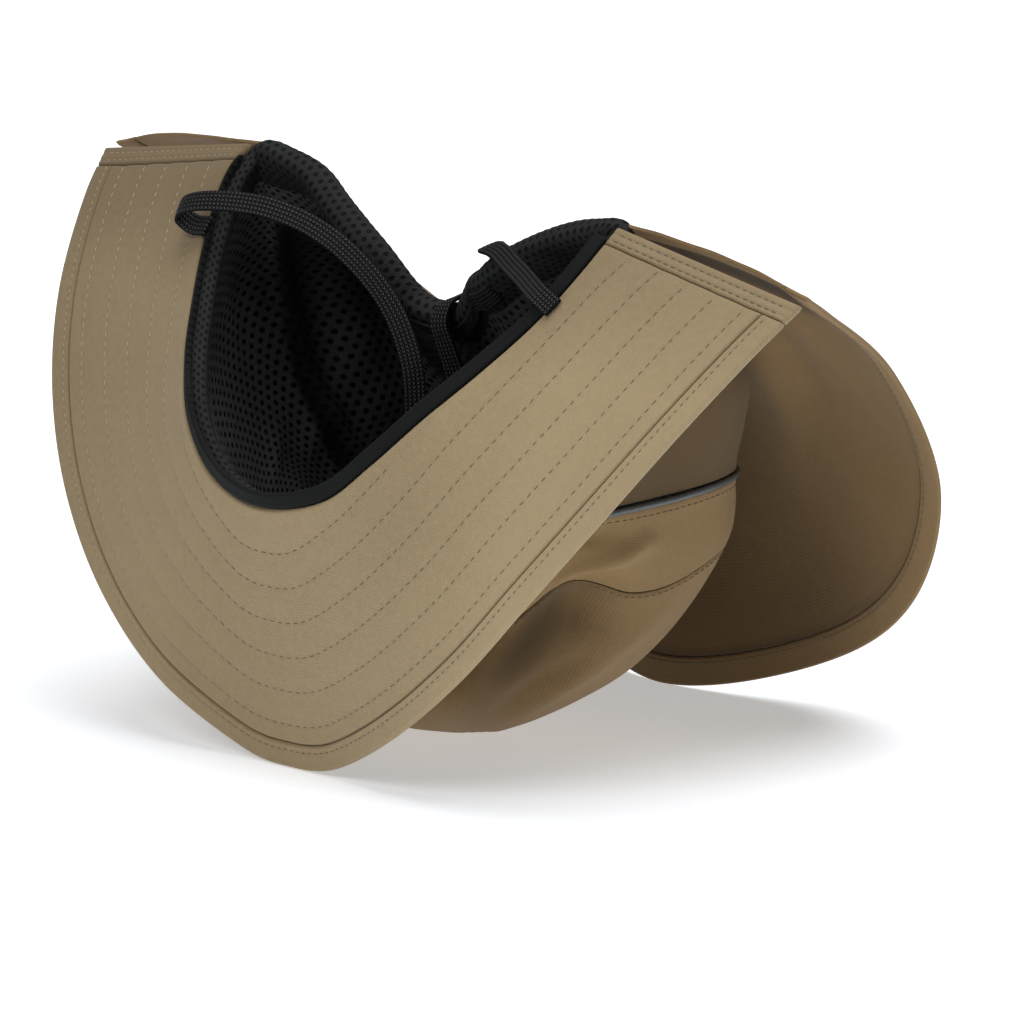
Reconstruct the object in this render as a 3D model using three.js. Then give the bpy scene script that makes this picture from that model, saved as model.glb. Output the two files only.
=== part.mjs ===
import * as THREE from 'three';

// A folding sun hat with a stiff front brim and a soft neck cape. It lies upside down, folded along its
// front-to-back middle, so the opening faces up and the cape falls behind the crown to the ground.
// Millimetres, +Z up, +X to the right of someone who looks at the front brim, which faces -Y.
// The tables hold the half with X >= 0, measured from the foot of the brim. The other half mirrors it.

const FOOT_TO_MIDDLE = 95.1;
const BRIM_THICKNESS = 3;
const HEM_PROUD = 0.3;
const CLOTH = 1.5;
const MESH_THICKNESS = 2;
const GAP = 0.4;
const SEAM_GAP = 0.6;
const CROWN_BELOW_EDGE = 2.4;
const CAPE_BEHIND_EDGE = 3;
const CAPE_BELOW_EDGE = 0.8;
const LINING_GAP = 0.7;
const ELASTIC_GAP = 0.7;
const BRIM_HEM_WIDTH = 10;
const CAPE_HEM_WIDTH = 11;
const END_BAND_WIDTH = 9;
const SWEATBAND_WIDTH = 6;
const SWEATBAND_THICKNESS = 2.4;
const SWEATBAND_SHARE = 0.965;
const ELASTIC_RIB = 0.5;
const ELASTIC_THICKNESS = 1.4;
const PIPING_RADIUS = 1.7;
const PIPING_PROUD = 0.2;
const STRAP_WIDTH = 8;
const STRAP_THICKNESS = 2;

// Mesh columns from the front middle to the temple, and from the temple to the rear middle.
const FRONT_COLUMNS = 16;
const REAR_COLUMNS = 12;
const HALF_COLUMNS = FRONT_COLUMNS + REAR_COLUMNS;

const BRIM_INNER_EDGE = [
  { x: 0, y: -16, z: 99 },
  { x: 29, y: -11.8, z: 105.6 },
  { x: 48, y: -5.2, z: 121.7 },
  { x: 62.4, y: 7.1, z: 139.3 },
  { x: 75.5, y: 23.4, z: 156.4 },
  { x: 86.7, y: 39.9, z: 173.6 },
  { x: 94.2, y: 55.3, z: 191 },
  { x: 96, y: 64, z: 199.4 },
  { x: 95.4, y: 73, z: 205.4 },
];

const BRIM_OUTER_EDGE = [
  { x: 0, y: 0, z: 0.06 },
  { x: 12, y: -0.2, z: 0.6 },
  { x: 24.2, y: -0.6, z: 3.5 },
  { x: 60.4, y: -6.3, z: 22.6 },
  { x: 92.6, y: -4.7, z: 49 },
  { x: 118.8, y: 2.4, z: 79.6 },
  { x: 141.7, y: 16.9, z: 111.7 },
  { x: 160.3, y: 37.8, z: 143.9 },
  { x: 174.7, y: 65.5, z: 174.5 },
  { x: 180.4, y: 81.7, z: 188.6 },
];

// The opening's rear edge, gathered by the elastic, from the rear middle to the temple.
const REAR_EDGE = [
  { x: 0, y: 84, z: 158 },
  { x: 12, y: 80, z: 163 },
  { x: 30, y: 72.5, z: 180.8 },
  { x: 50, y: 74, z: 192.8 },
  { x: 72, y: 76.5, z: 202 },
  { x: 90, y: 76.8, z: 206 },
];

// Folds of the cape from the rear middle to its front edge. Each one runs from the opening down to the hem.
const CAPE_FOLDS = [
  { shoulder: [0, 128, 139], flank: [0, 180, 104], hem: [0, 190, 0.18] },
  { shoulder: [30, 120, 141], flank: [48, 180, 108], hem: [72.4, 207, 18.5] },
  { shoulder: [56, 122, 144], flank: [84, 174, 121], hem: [120, 201, 50] },
  { shoulder: [82, 117, 166.5], flank: [112, 160, 143], hem: [147, 187, 97] },
  { shoulder: [108, 104, 190], flank: [138, 132, 172], hem: [160, 150, 149] },
  { shoulder: [124, 80.5, 202], flank: [152, 84.5, 197.5], hem: [179.5, 86.5, 190.5] },
];

// Level rings of the crown, from the opening down to the ground. Corners are rounder with a low roundness.
const CROWN_RINGS = [
  { name: 'shoulder', frontY: 6, wideY: 95, rearY: 142, halfWidth: 104.5,
    frontZ: 82, sideZ: 152, rearZ: 104, frontSquare: 2.3, rearSquare: 6 },
  { name: 'piping', frontY: 22, wideY: 95, rearY: 165, halfWidth: 87.5,
    frontZ: 62, sideZ: 96.5, rearZ: 98, frontSquare: 2.3, rearSquare: 4 },
  { name: 'topSeam', frontY: 34, wideY: 98, rearY: 165, halfWidth: 78,
    frontZ: 42, sideZ: 58.5, rearZ: 68, frontSquare: 2.2, rearSquare: 4 },
  { name: 'belly', frontY: 21, wideY: 98, rearY: 151, halfWidth: 59,
    frontZ: 23, sideZ: 26, rearZ: 36, frontSquare: 2.2, rearSquare: 2.6 },
  { name: 'patch', frontY: 84, wideY: 94, rearY: 106, halfWidth: 12,
    frontZ: 0, sideZ: 0, rearZ: 0, frontSquare: 2, rearSquare: 2 },
];
const CROWN_MIDDLE = new THREE.Vector3(0, 94, 0);
const TEMPLE_FRACTION = 0.47;

// Crown rows by level: 0 is the opening, 1 the shoulder, 2 the piping, 3 the top seam, 4 the belly, 5 the patch.
const CROWN_ROWS = [
  { level: 0, shift: 0 },
  { level: 0.25, shift: 0 },
  { level: 0.6, shift: 0 },
  { level: 1, shift: 0 },
  { level: 1.5, shift: 0 },
  { level: 2, shift: -PIPING_RADIUS - GAP },
  { level: 2, shift: PIPING_RADIUS + GAP },
  { level: 2.5, shift: 0 },
  { level: 3, shift: -GAP },
  { level: 3, shift: GAP },
  { level: 3.5, shift: 0 },
  { level: 4, shift: 0 },
  { level: 4.5, shift: 0 },
  { level: 5, shift: 0 },
];
const SIDE_BAND_ROWS = [0, 5];
const UPPER_BAND_ROWS = [6, 8];
const TOP_ROWS = [9, 13];

// Soft folds in the crown. Side is 1 on the right and -1 on the left, column counts from the front middle,
// depth is how far the fold goes in and lift how far it rises.
const CROWN_FOLDS = [
  { side: 1, column: 12.5, level: 3, wide: 3, tall: 0.7, depth: 4, lift: 12 },
  { side: -1, column: 12.5, level: 3, wide: 3, tall: 0.7, depth: 4, lift: 12 },
  { side: 1, column: 14, level: 2.5, wide: 2.5, tall: 0.3, depth: -3, lift: 0 },
  { side: 1, column: 20.5, level: 3, wide: 2.5, tall: 0.8, depth: -2, lift: 9 },
  { side: -1, column: 20.5, level: 3, wide: 2.5, tall: 0.8, depth: -2, lift: 9 },
  { side: -1, column: 19, level: 1.2, wide: 1.4, tall: 1.2, depth: 9, lift: 0 },
];

// The opening's rear edge sags left of its middle and stands up in a fold right of it, fading out downwards.
const RIM_SAGS = [
  { x: -42, wide: 26, depth: 3.2 },
  { x: -16, wide: 11, depth: 6.5 },
  { x: 14, wide: 8, depth: -10 },
];
const LOWEST_SAG = 120;

// The strap's route from its left seam, over the brim, down into the crown and up to its right seam.
const STRAP_ROUTE = [
  { x: -89.7, y: 43.6, z: 179.9 },
  { x: -93.4, y: 43.5, z: 179.6 },
  { x: -97, y: 43.3, z: 180.6 },
  { x: -99.5, y: 42, z: 183 },
  { x: -98, y: 40.5, z: 186 },
  { x: -93.5, y: 40, z: 188.3 },
  { x: -86.5, y: 41.5, z: 190 },
  { x: -76, y: 46, z: 190.6 },
  { x: -65, y: 50.5, z: 189.9 },
  { x: -52, y: 56, z: 186.3 },
  { x: -40, y: 59.5, z: 181 },
  { x: -31, y: 62, z: 175 },
  { x: -22, y: 64.8, z: 166.5 },
  { x: -15, y: 66.7, z: 157.5 },
  { x: -10, y: 67.3, z: 149 },
  { x: -5, y: 67.5, z: 136 },
  { x: -3, y: 67, z: 110 },
  { x: -2, y: 67, z: 70 },
  { x: -1, y: 69, z: 35 },
  { x: 0, y: 76, z: 16 },
  { x: 4, y: 88, z: 9 },
  { x: 10, y: 97, z: 11 },
  { x: 14, y: 92, z: 25 },
  { x: 14, y: 86, z: 60 },
  { x: 12, y: 82, z: 105 },
  { x: 7, y: 78.5, z: 132 },
  { x: 4, y: 75, z: 147 },
  { x: 2.2, y: 74, z: 153.5 },
  { x: 1.5, y: 77.7, z: 159.8 },
  { x: 2, y: 84, z: 161.8 },
  { x: 6, y: 91, z: 165 },
  { x: 12, y: 93.5, z: 172 },
  { x: 17, y: 90, z: 179.5 },
  { x: 21.5, y: 82, z: 183.9 },
  { x: 28, y: 73.5, z: 186.3 },
  { x: 41, y: 66.3, z: 188.2 },
  { x: 56, y: 58, z: 187 },
  { x: 70, y: 50.5, z: 185.8 },
  { x: 83.6, y: 44.1, z: 183.2 },
  { x: 90, y: 43.6, z: 180.4 },
];
const STRAP_STEPS = 74;

// Which way the strap's width points, at fractions of its length.
const STRAP_WIDTHWAYS = [
  { at: 0, x: -0.31, y: 0.63, z: 0.71 },
  { at: 0.08, x: 0.1, y: 0.6, z: 0.75 },
  { at: 0.2, x: 0.28, y: 0.53, z: 0.72 },
  { at: 0.3, x: 0.67, y: 0.71, z: 0.07 },
  { at: 0.66, x: 0.78, y: 0.62, z: 0 },
  { at: 0.76, x: 0.95, y: 0.1, z: 0.1 },
  { at: 0.8, x: 0.83, y: -0.28, z: 0.48 },
  { at: 0.835, x: 0.3, y: -0.95, z: 0.05 },
  { at: 0.87, x: -0.5, y: -0.72, z: -0.35 },
  { at: 0.9, x: -0.6, y: -0.6, z: -0.45 },
  { at: 1, x: -0.4, y: -0.58, z: -0.62 },
];

function vector(row) {
  return new THREE.Vector3(row.x, row.y, row.z);
}

function flipped(point) {
  return new THREE.Vector3(-point.x, point.y, point.z);
}

// A smooth curve from the left end, through the middle, to the right end.
function mirroredCurve(points) {
  const left = points.slice(1).reverse().map(flipped);
  const curve = new THREE.CatmullRomCurve3([...left, ...points], false, 'centripetal');
  curve.arcLengthDivisions = 600;
  return curve;
}

// A fraction of a mirrored curve's right half, 0 in the middle and 1 at the right end.
function onRightHalf(fraction) {
  return (1 + fraction) / 2;
}

const innerEdge = mirroredCurve(BRIM_INNER_EDGE.map(vector));
const outerEdge = mirroredCurve(BRIM_OUTER_EDGE.map(vector));
const rearEdge = mirroredCurve(REAR_EDGE.map(vector));
const capeShoulder = mirroredCurve(CAPE_FOLDS.map((fold) => new THREE.Vector3(...fold.shoulder)));
const capeFlank = mirroredCurve(CAPE_FOLDS.map((fold) => new THREE.Vector3(...fold.flank)));
const capeHem = mirroredCurve(CAPE_FOLDS.map((fold) => new THREE.Vector3(...fold.hem)));

// Brim: u runs from 0 in the middle to 1 at the right end, reach from 0 at the opening to 1 outside.
function brimPoint(u, reach) {
  const inner = innerEdge.getPointAt(onRightHalf(u));
  const outer = outerEdge.getPointAt(onRightHalf(u));
  return inner.lerp(outer, reach);
}

function brimWidth(u) {
  return brimPoint(u, 0).distanceTo(brimPoint(u, 1));
}

// Where the end band starts, so that the band is as wide at the opening as outside.
function endBandStart(reach, clearance) {
  const halfLength = THREE.MathUtils.lerp(innerEdge.getLength(), outerEdge.getLength(), reach) / 2;
  return 1 - (END_BAND_WIDTH + clearance) / halfLength;
}

// Cape: turn runs from 0 at the rear middle to 1 at the right front edge, drop from 0 at the opening to 1.
function capePoint(turn, drop) {
  const root = rearEdge.getPointAt(onRightHalf(turn));
  root.y += CAPE_BEHIND_EDGE;
  root.z -= CAPE_BELOW_EDGE;
  const fold = new THREE.CatmullRomCurve3([
    root,
    capeShoulder.getPoint(onRightHalf(turn)),
    capeFlank.getPoint(onRightHalf(turn)),
    capeHem.getPoint(onRightHalf(turn)),
  ], false, 'centripetal');
  return fold.getPoint(drop);
}

function capeTurn(column) {
  return 1 - (column - FRONT_COLUMNS - 1) / (REAR_COLUMNS - 1);
}

// Half of a ring of the crown, as a curve from the front middle to the rear middle.
function halfRing(ring) {
  const points = [];
  const steps = 60;
  for (let step = 0; step <= steps; step += 1) {
    const angle = (Math.PI * step) / steps;
    const front = step <= steps / 2;
    const power = 2 / (front ? ring.frontSquare : ring.rearSquare);
    const along = Math.abs(Math.cos(angle)) ** power;
    const endY = front ? ring.frontY : ring.rearY;
    const endZ = front ? ring.frontZ : ring.rearZ;
    const across = Math.abs(Math.sin(angle)) ** power;
    points.push(new THREE.Vector3(
      ring.halfWidth * across,
      ring.wideY + (endY - ring.wideY) * along,
      ring.sideZ + (endZ - ring.sideZ) * (1 - across * across),
    ));
  }
  return new THREE.CatmullRomCurve3(points);
}

const halfRings = CROWN_RINGS.map(halfRing);

function ringFraction(column) {
  if (column <= FRONT_COLUMNS) {
    return (TEMPLE_FRACTION * column) / FRONT_COLUMNS;
  }
  return TEMPLE_FRACTION + ((1 - TEMPLE_FRACTION) * (column - FRONT_COLUMNS)) / REAR_COLUMNS;
}

// The opening's edge at a column: its place, the way out along the brim or cape, and the way to the crown.
function openingEdge(column) {
  const front = column <= FRONT_COLUMNS;
  const place = front ? column / FRONT_COLUMNS : capeTurn(column);
  const curve = front ? innerEdge : rearEdge;
  const point = curve.getPointAt(onRightHalf(place));
  const along = curve.getTangentAt(onRightHalf(place)).multiplyScalar(front ? 1 : -1);
  const outside = front ? brimPoint(place, 1) : capePoint(place, 0.1);
  const outward = outside.sub(point).normalize();
  const behind = along.cross(outward).normalize();
  return { point, outward, behind };
}

function sagged(point) {
  const height = THREE.MathUtils.clamp((point.z - LOWEST_SAG) / (REAR_EDGE[2].z - LOWEST_SAG), 0, 1);
  for (const sag of RIM_SAGS) {
    const across = (point.x - sag.x) / sag.wide;
    point.z -= sag.depth * height * Math.exp(-across * across);
  }
  return point;
}

function folded(point, side, column, level) {
  const inward = new THREE.Vector3(-point.x, CROWN_MIDDLE.y - point.y, 0).normalize();
  for (const fold of CROWN_FOLDS.filter((row) => row.side === side)) {
    const across = (column - fold.column) / fold.wide;
    const down = (level - fold.level) / fold.tall;
    const share = Math.exp(-across * across - down * down);
    point.addScaledVector(inward, fold.depth * share);
    point.z += fold.lift * share;
  }
  return point;
}

// Outer skin of the crown at one column of the right or the left side, a point for each row.
function crownColumn(column, side) {
  const edge = openingEdge(column);
  const start = column <= FRONT_COLUMNS
    ? edge.point.clone().addScaledVector(edge.behind, BRIM_THICKNESS + SEAM_GAP)
    : edge.point.clone().sub(new THREE.Vector3(0, 0, CROWN_BELOW_EDGE));
  const controls = [start];
  for (const ring of halfRings) {
    controls.push(ring.getPointAt(ringFraction(column)));
  }
  controls.push(CROWN_MIDDLE);
  const meridian = new THREE.CatmullRomCurve3(controls, false, 'centripetal');
  const lastLevel = controls.length - 1;
  return CROWN_ROWS.map(({ level, shift }) => {
    const t = level / lastLevel;
    const probe = 0.01;
    const speed = meridian.getPoint(Math.min(t + probe, 1)).distanceTo(meridian.getPoint(Math.max(t - probe, 0)));
    const point = meridian.getPoint(t + (shift * 2 * probe) / speed);
    point.z = Math.max(point.z, 0);
    folded(point, side, column, level);
    const placed = side > 0 ? point : flipped(point);
    return column > FRONT_COLUMNS ? sagged(placed) : placed;
  });
}

function crownSkin() {
  const skin = [];
  for (let column = 0; column < 2 * HALF_COLUMNS; column += 1) {
    const left = column > HALF_COLUMNS;
    skin.push(left ? crownColumn(2 * HALF_COLUMNS - column, -1) : crownColumn(column, 1));
  }
  return skin;
}

// Unit normals of a skin, a grid of points by column and row. A loop's last column meets its first.
function skinNormals(skin, loop) {
  const last = skin.length - 1;
  const previous = (column) => (loop ? (column + last) % skin.length : Math.max(column - 1, 0));
  const next = (column) => (loop ? (column + 1) % skin.length : Math.min(column + 1, last));
  return skin.map((points, column) => points.map((_, row) => {
    const across = skin[next(column)][row].clone().sub(skin[previous(column)][row]);
    const lower = points[Math.min(row + 1, points.length - 1)];
    const down = lower.clone().sub(points[Math.max(row - 1, 0)]);
    return down.cross(across).normalize();
  }));
}

function movedSkin(skin, normals, distance) {
  return skin.map((points, column) => points.map((point, row) => {
    const reach = typeof distance === 'function' ? distance(column, row) : distance;
    return point.clone().addScaledVector(normals[column][row], reach);
  }));
}

function skinRows(skin, [first, last]) {
  return skin.map((points) => points.slice(first, last + 1));
}

// A closed solid from its corner points and its faces, with the faces turned outwards.
function closedSolid(points, faces) {
  let volume = 0;
  for (let corner = 0; corner < faces.length; corner += 3) {
    const [a, b, c] = [0, 1, 2].map((step) => points[faces[corner + step]]);
    volume += a.dot(b.clone().cross(c));
  }
  const indices = volume < 0 ? faces.slice().reverse() : faces;
  const geometry = new THREE.BufferGeometry();
  geometry.setAttribute('position', new THREE.Float32BufferAttribute(points.flatMap((p) => p.toArray()), 3));
  geometry.setIndex(indices);
  geometry.computeVertexNormals();
  return geometry;
}

// A wall of cloth between two skins. A loop closes on itself, and a capped one is closed at its last row.
function clothWall(front, back, { loop = false, capped = false } = {}) {
  const columns = front.length;
  const rows = front[0].length;
  const points = [...front.flat(), ...back.flat()];
  const faces = [];
  const corner = (layer, column, row) => layer * columns * rows + (column % columns) * rows + row;
  const quad = (a, b, c, d) => faces.push(a, b, c, a, c, d);
  const spans = loop ? columns : columns - 1;
  for (let column = 0; column < spans; column += 1) {
    for (let row = 0; row + 1 < rows; row += 1) {
      quad(corner(0, column, row), corner(0, column, row + 1),
        corner(0, column + 1, row + 1), corner(0, column + 1, row));
      quad(corner(1, column, row), corner(1, column + 1, row),
        corner(1, column + 1, row + 1), corner(1, column, row + 1));
    }
    quad(corner(0, column, 0), corner(0, column + 1, 0), corner(1, column + 1, 0), corner(1, column, 0));
    if (!capped) {
      const end = rows - 1;
      quad(corner(0, column, end), corner(1, column, end),
        corner(1, column + 1, end), corner(0, column + 1, end));
    }
  }
  if (capped) {
    for (const layer of [0, 1]) {
      const middle = points.length;
      const ring = (layer ? back : front).map((column) => column[rows - 1]);
      points.push(ring.reduce((sum, p) => sum.add(p), new THREE.Vector3()).divideScalar(columns));
      for (let column = 0; column < columns; column += 1) {
        const near = corner(layer, column, rows - 1);
        const far = corner(layer, column + 1, rows - 1);
        faces.push(...(layer ? [near, far, middle] : [near, middle, far]));
      }
    }
  }
  if (!loop) {
    for (let row = 0; row + 1 < rows; row += 1) {
      const end = columns - 1;
      quad(corner(0, 0, row), corner(1, 0, row), corner(1, 0, row + 1), corner(0, 0, row + 1));
      quad(corner(0, end, row), corner(0, end, row + 1), corner(1, end, row + 1), corner(1, end, row));
    }
  }
  return closedSolid(points, faces);
}

// A solid swept along points, from one closed outline of corners at each point.
function sweptSolid(outlines, loop) {
  const sides = outlines[0].length;
  const points = outlines.flat();
  const faces = [];
  const spans = loop ? outlines.length : outlines.length - 1;
  const corner = (step, side) => (step % outlines.length) * sides + (side % sides);
  for (let step = 0; step < spans; step += 1) {
    for (let side = 0; side < sides; side += 1) {
      faces.push(corner(step, side), corner(step, side + 1), corner(step + 1, side + 1));
      faces.push(corner(step, side), corner(step + 1, side + 1), corner(step + 1, side));
    }
  }
  if (!loop) {
    for (let side = 1; side + 1 < sides; side += 1) {
      faces.push(corner(0, 0), corner(0, side + 1), corner(0, side));
      faces.push(corner(spans, 0), corner(spans, side), corner(spans, side + 1));
    }
  }
  return closedSolid(points, faces);
}

// Columns of the brim or cape, from the left end to the right end.
function evenSpread(count) {
  return Array.from({ length: count + 1 }, (_, step) => (2 * step) / count - 1);
}

function surfaceNormal(surface, u, v) {
  const probe = 0.004;
  const across = surface(Math.min(u + probe, 1), v).sub(surface(Math.max(u - probe, -1), v));
  const down = surface(u, Math.min(v + probe, 1)).sub(surface(u, Math.max(v - probe, 0)));
  return down.cross(across).normalize();
}

// A wall between two distances from a surface. Each row gives the surface's u and v at a column.
function wallOn(surface, columns, rows, frontDistance, backDistance) {
  const skins = [frontDistance, backDistance].map((distance) => columns.map((column) => (
    rows(column).map(([u, v]) => surface(u, v).addScaledVector(surfaceNormal(surface, u, v), distance)))));
  return clothWall(skins[0], skins[1]);
}

function brimSurface(u, reach) {
  const point = brimPoint(Math.abs(u), reach);
  return u < 0 ? flipped(point) : point;
}

function brimWall(columns, rows, proud) {
  return wallOn(brimSurface, columns, rows, proud, -BRIM_THICKNESS - proud);
}

function frontBrim() {
  return brimWall(evenSpread(2 * FRONT_COLUMNS), (column) => {
    const outermost = 1 - (BRIM_HEM_WIDTH + GAP) / brimWidth(Math.abs(column));
    return [0, 0.25, 0.5, 0.75, 1].map((part) => {
      const reach = part * outermost;
      return [column * endBandStart(reach, GAP), reach];
    });
  }, 0);
}

function brimEdgeHem() {
  return brimWall(evenSpread(2 * FRONT_COLUMNS), (column) => {
    const innermost = 1 - BRIM_HEM_WIDTH / brimWidth(Math.abs(column));
    return [innermost, 1].map((reach) => [column * endBandStart(reach, GAP), reach]);
  }, HEM_PROUD);
}

function brimEndBand(side) {
  return brimWall([0, 1], (end) => [0, 0.25, 0.5, 0.75, 1].map((reach) => (
    [side * (end ? 1 : endBandStart(reach, 0)), reach])), HEM_PROUD);
}

function sweatband() {
  const skins = [0, 1].map((layer) => evenSpread(2 * FRONT_COLUMNS).map((column) => {
    const edge = openingEdge(Math.abs(column) * FRONT_COLUMNS * SWEATBAND_SHARE);
    return [SEAM_GAP, SEAM_GAP + SWEATBAND_WIDTH].map((height) => {
      const point = edge.point.clone().addScaledVector(edge.outward, -height);
      point.addScaledVector(edge.behind, layer * SWEATBAND_THICKNESS);
      return column < 0 ? flipped(point) : point;
    });
  }));
  return clothWall(skins[0], skins[1]);
}

function capeSurface(turn, drop) {
  const point = capePoint(Math.abs(turn), drop);
  return sagged(turn < 0 ? flipped(point) : point);
}

// The drop at which the cape's hem begins.
function hemStart(turn, clearance) {
  const probe = 0.02;
  const place = Math.abs(turn);
  const speed = capePoint(place, 1).distanceTo(capePoint(place, 1 - probe)) / probe;
  return 1 - (CAPE_HEM_WIDTH + clearance) / speed;
}

function neckCape() {
  const parts = [0, 0.12, 0.25, 0.38, 0.5, 0.64, 0.8, 0.92, 1];
  const rows = (turn) => parts.map((part) => [turn, part * hemStart(turn, GAP)]);
  return wallOn(capeSurface, evenSpread(2 * REAR_COLUMNS), rows, 0, CLOTH);
}

function capeHemBand() {
  const rows = (turn) => [hemStart(turn, 0), (1 + hemStart(turn, 0)) / 2, 1].map((drop) => [turn, drop]);
  return wallOn(capeSurface, evenSpread(2 * REAR_COLUMNS), rows, -HEM_PROUD, CLOTH + HEM_PROUD);
}

const crown = crownSkin();
const crownNormals = skinNormals(crown, true);

function crownWall(rows, options) {
  const inner = movedSkin(crown, crownNormals, -CLOTH);
  return clothWall(skinRows(crown, rows), skinRows(inner, rows), { loop: true, ...options });
}

function meshLining() {
  const outer = movedSkin(crown, crownNormals, -CLOTH - LINING_GAP);
  const inner = movedSkin(crown, crownNormals, -CLOTH - LINING_GAP - MESH_THICKNESS);
  return clothWall(outer, inner, { loop: true, capped: true });
}

function piping() {
  const sides = 6;
  const outlines = crown.map((points, column) => {
    const [above, below] = [points[SIDE_BAND_ROWS[1]], points[UPPER_BAND_ROWS[0]]];
    const normal = crownNormals[column][SIDE_BAND_ROWS[1]];
    const down = below.clone().sub(above).normalize();
    const middle = above.clone().lerp(below, 0.5).addScaledVector(normal, PIPING_PROUD);
    return Array.from({ length: sides }, (_, side) => {
      const angle = (2 * Math.PI * side) / sides;
      return middle.clone()
        .addScaledVector(down, PIPING_RADIUS * Math.cos(angle))
        .addScaledVector(normal, PIPING_RADIUS * Math.sin(angle));
    });
  });
  return sweptSolid(outlines, true);
}

// A gathered elastic inside the rear edge, with a rib at every second column.
function rearElastic() {
  const reach = 4;
  const ribsPerColumn = 4;
  const skins = [0, 1].map(() => []);
  for (let rib = 0; rib <= 2 * reach * ribsPerColumn; rib += 1) {
    const place = HALF_COLUMNS - reach + rib / ribsPerColumn;
    const column = Math.min(Math.floor(place), HALF_COLUMNS + reach - 1);
    const raised = rib % 2 ? ELASTIC_RIB : 0;
    const base = CLOTH + LINING_GAP + MESH_THICKNESS + ELASTIC_GAP;
    for (const [layer, depth] of [base, base + ELASTIC_THICKNESS + raised].entries()) {
      const moved = movedSkin(crown, crownNormals, -depth);
      const top = moved[column][0].clone().lerp(moved[column + 1][0], place - column);
      const low = moved[column][1].clone().lerp(moved[column + 1][1], place - column);
      skins[layer].push([0.06, 0.4].map((part) => top.clone().lerp(low, part)));
    }
  }
  return clothWall(skins[0], skins[1]);
}

function strapWidthway(at) {
  const next = STRAP_WIDTHWAYS.findIndex((row) => row.at >= at && row.at > 0);
  const [before, after] = [STRAP_WIDTHWAYS[next - 1], STRAP_WIDTHWAYS[next]];
  return vector(before).lerp(vector(after), (at - before.at) / (after.at - before.at));
}

function chinStrap() {
  const curve = new THREE.CatmullRomCurve3(STRAP_ROUTE.map(vector), false, 'centripetal');
  const corners = [
    [-0.5, -0.25], [-0.4, -0.5], [0.4, -0.5], [0.5, -0.25], [0.5, 0.25], [0.4, 0.5], [-0.4, 0.5], [-0.5, 0.25],
  ];
  const outlines = [];
  for (let step = 0; step <= STRAP_STEPS; step += 1) {
    const point = curve.getPointAt(step / STRAP_STEPS);
    const along = curve.getTangentAt(step / STRAP_STEPS);
    const across = strapWidthway(step / STRAP_STEPS);
    across.addScaledVector(along, -across.dot(along)).normalize();
    const thick = along.clone().cross(across);
    outlines.push(corners.map(([wide, deep]) => point.clone()
      .addScaledVector(across, wide * STRAP_WIDTH)
      .addScaledVector(thick, deep * STRAP_THICKNESS)));
  }
  return sweptSolid(outlines, false);
}

const TAN = { color: 0x8f7855, roughness: 0.85, metalness: 0 };
const SHADED_TAN = { color: 0x7a6447, roughness: 0.88, metalness: 0 };
const BLACK_MESH = { color: 0x141414, roughness: 0.8, metalness: 0 };
const BLACK_KNIT = { color: 0x101010, roughness: 0.65, metalness: 0 };
const GREY_PIPING = { color: 0x7c7f80, roughness: 0.35, metalness: 0.3 };

const hat = new THREE.Group();
hat.position.y = -FOOT_TO_MIDDLE;

function addPiece(name, geometry, look) {
  const piece = new THREE.Mesh(geometry, new THREE.MeshStandardMaterial(look));
  piece.name = name;
  hat.add(piece);
}

addPiece('front_brim', frontBrim(), TAN);
addPiece('brim_edge_binding', brimEdgeHem(), TAN);
addPiece('brim_end_band_left', brimEndBand(-1), TAN);
addPiece('brim_end_band_right', brimEndBand(1), TAN);
addPiece('crown_side_band', crownWall(SIDE_BAND_ROWS), TAN);
addPiece('reflective_piping', piping(), GREY_PIPING);
addPiece('crown_upper_band', crownWall(UPPER_BAND_ROWS), TAN);
addPiece('crown_top', crownWall(TOP_ROWS, { capped: true }), TAN);
addPiece('mesh_lining', meshLining(), BLACK_MESH);
addPiece('sweatband', sweatband(), BLACK_KNIT);
addPiece('rear_elastic', rearElastic(), BLACK_KNIT);
addPiece('neck_cape', neckCape(), SHADED_TAN);
addPiece('cape_hem', capeHemBand(), SHADED_TAN);
addPiece('chin_strap', chinStrap(), BLACK_KNIT);

export default hat;
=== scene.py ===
"""A folding sun hat with a stitched front brim, a soft crown, a black mesh lining and a neck cape."""

import math

import bpy
import numpy as np
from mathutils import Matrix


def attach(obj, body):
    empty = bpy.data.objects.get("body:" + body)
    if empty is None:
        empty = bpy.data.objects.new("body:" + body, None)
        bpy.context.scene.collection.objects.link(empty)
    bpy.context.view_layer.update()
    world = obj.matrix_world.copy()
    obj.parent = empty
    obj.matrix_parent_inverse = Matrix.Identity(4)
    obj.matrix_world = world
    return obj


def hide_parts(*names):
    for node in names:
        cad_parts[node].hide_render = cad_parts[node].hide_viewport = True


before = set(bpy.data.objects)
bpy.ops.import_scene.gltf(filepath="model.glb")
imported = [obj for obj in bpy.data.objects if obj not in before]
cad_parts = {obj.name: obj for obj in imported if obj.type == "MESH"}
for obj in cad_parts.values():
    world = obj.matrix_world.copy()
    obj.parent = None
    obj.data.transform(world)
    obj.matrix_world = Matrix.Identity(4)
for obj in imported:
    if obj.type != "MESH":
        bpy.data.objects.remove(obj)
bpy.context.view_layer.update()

bl_info = {
    "name": "Folding sun hat",
    "version": (1, 0, 0),
    "blender": (4, 5, 0),
    "location": "View3D > Sidebar > Sun hat",
    "description": "Sews a folding sun hat, piece by piece, over its measured solids",
    "category": "Add Mesh",
}

MM = 0.001
# Millimetres from the foot of the brim back to the middle of the frame.
FOOT_TO_MIDDLE = 95.1

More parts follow.
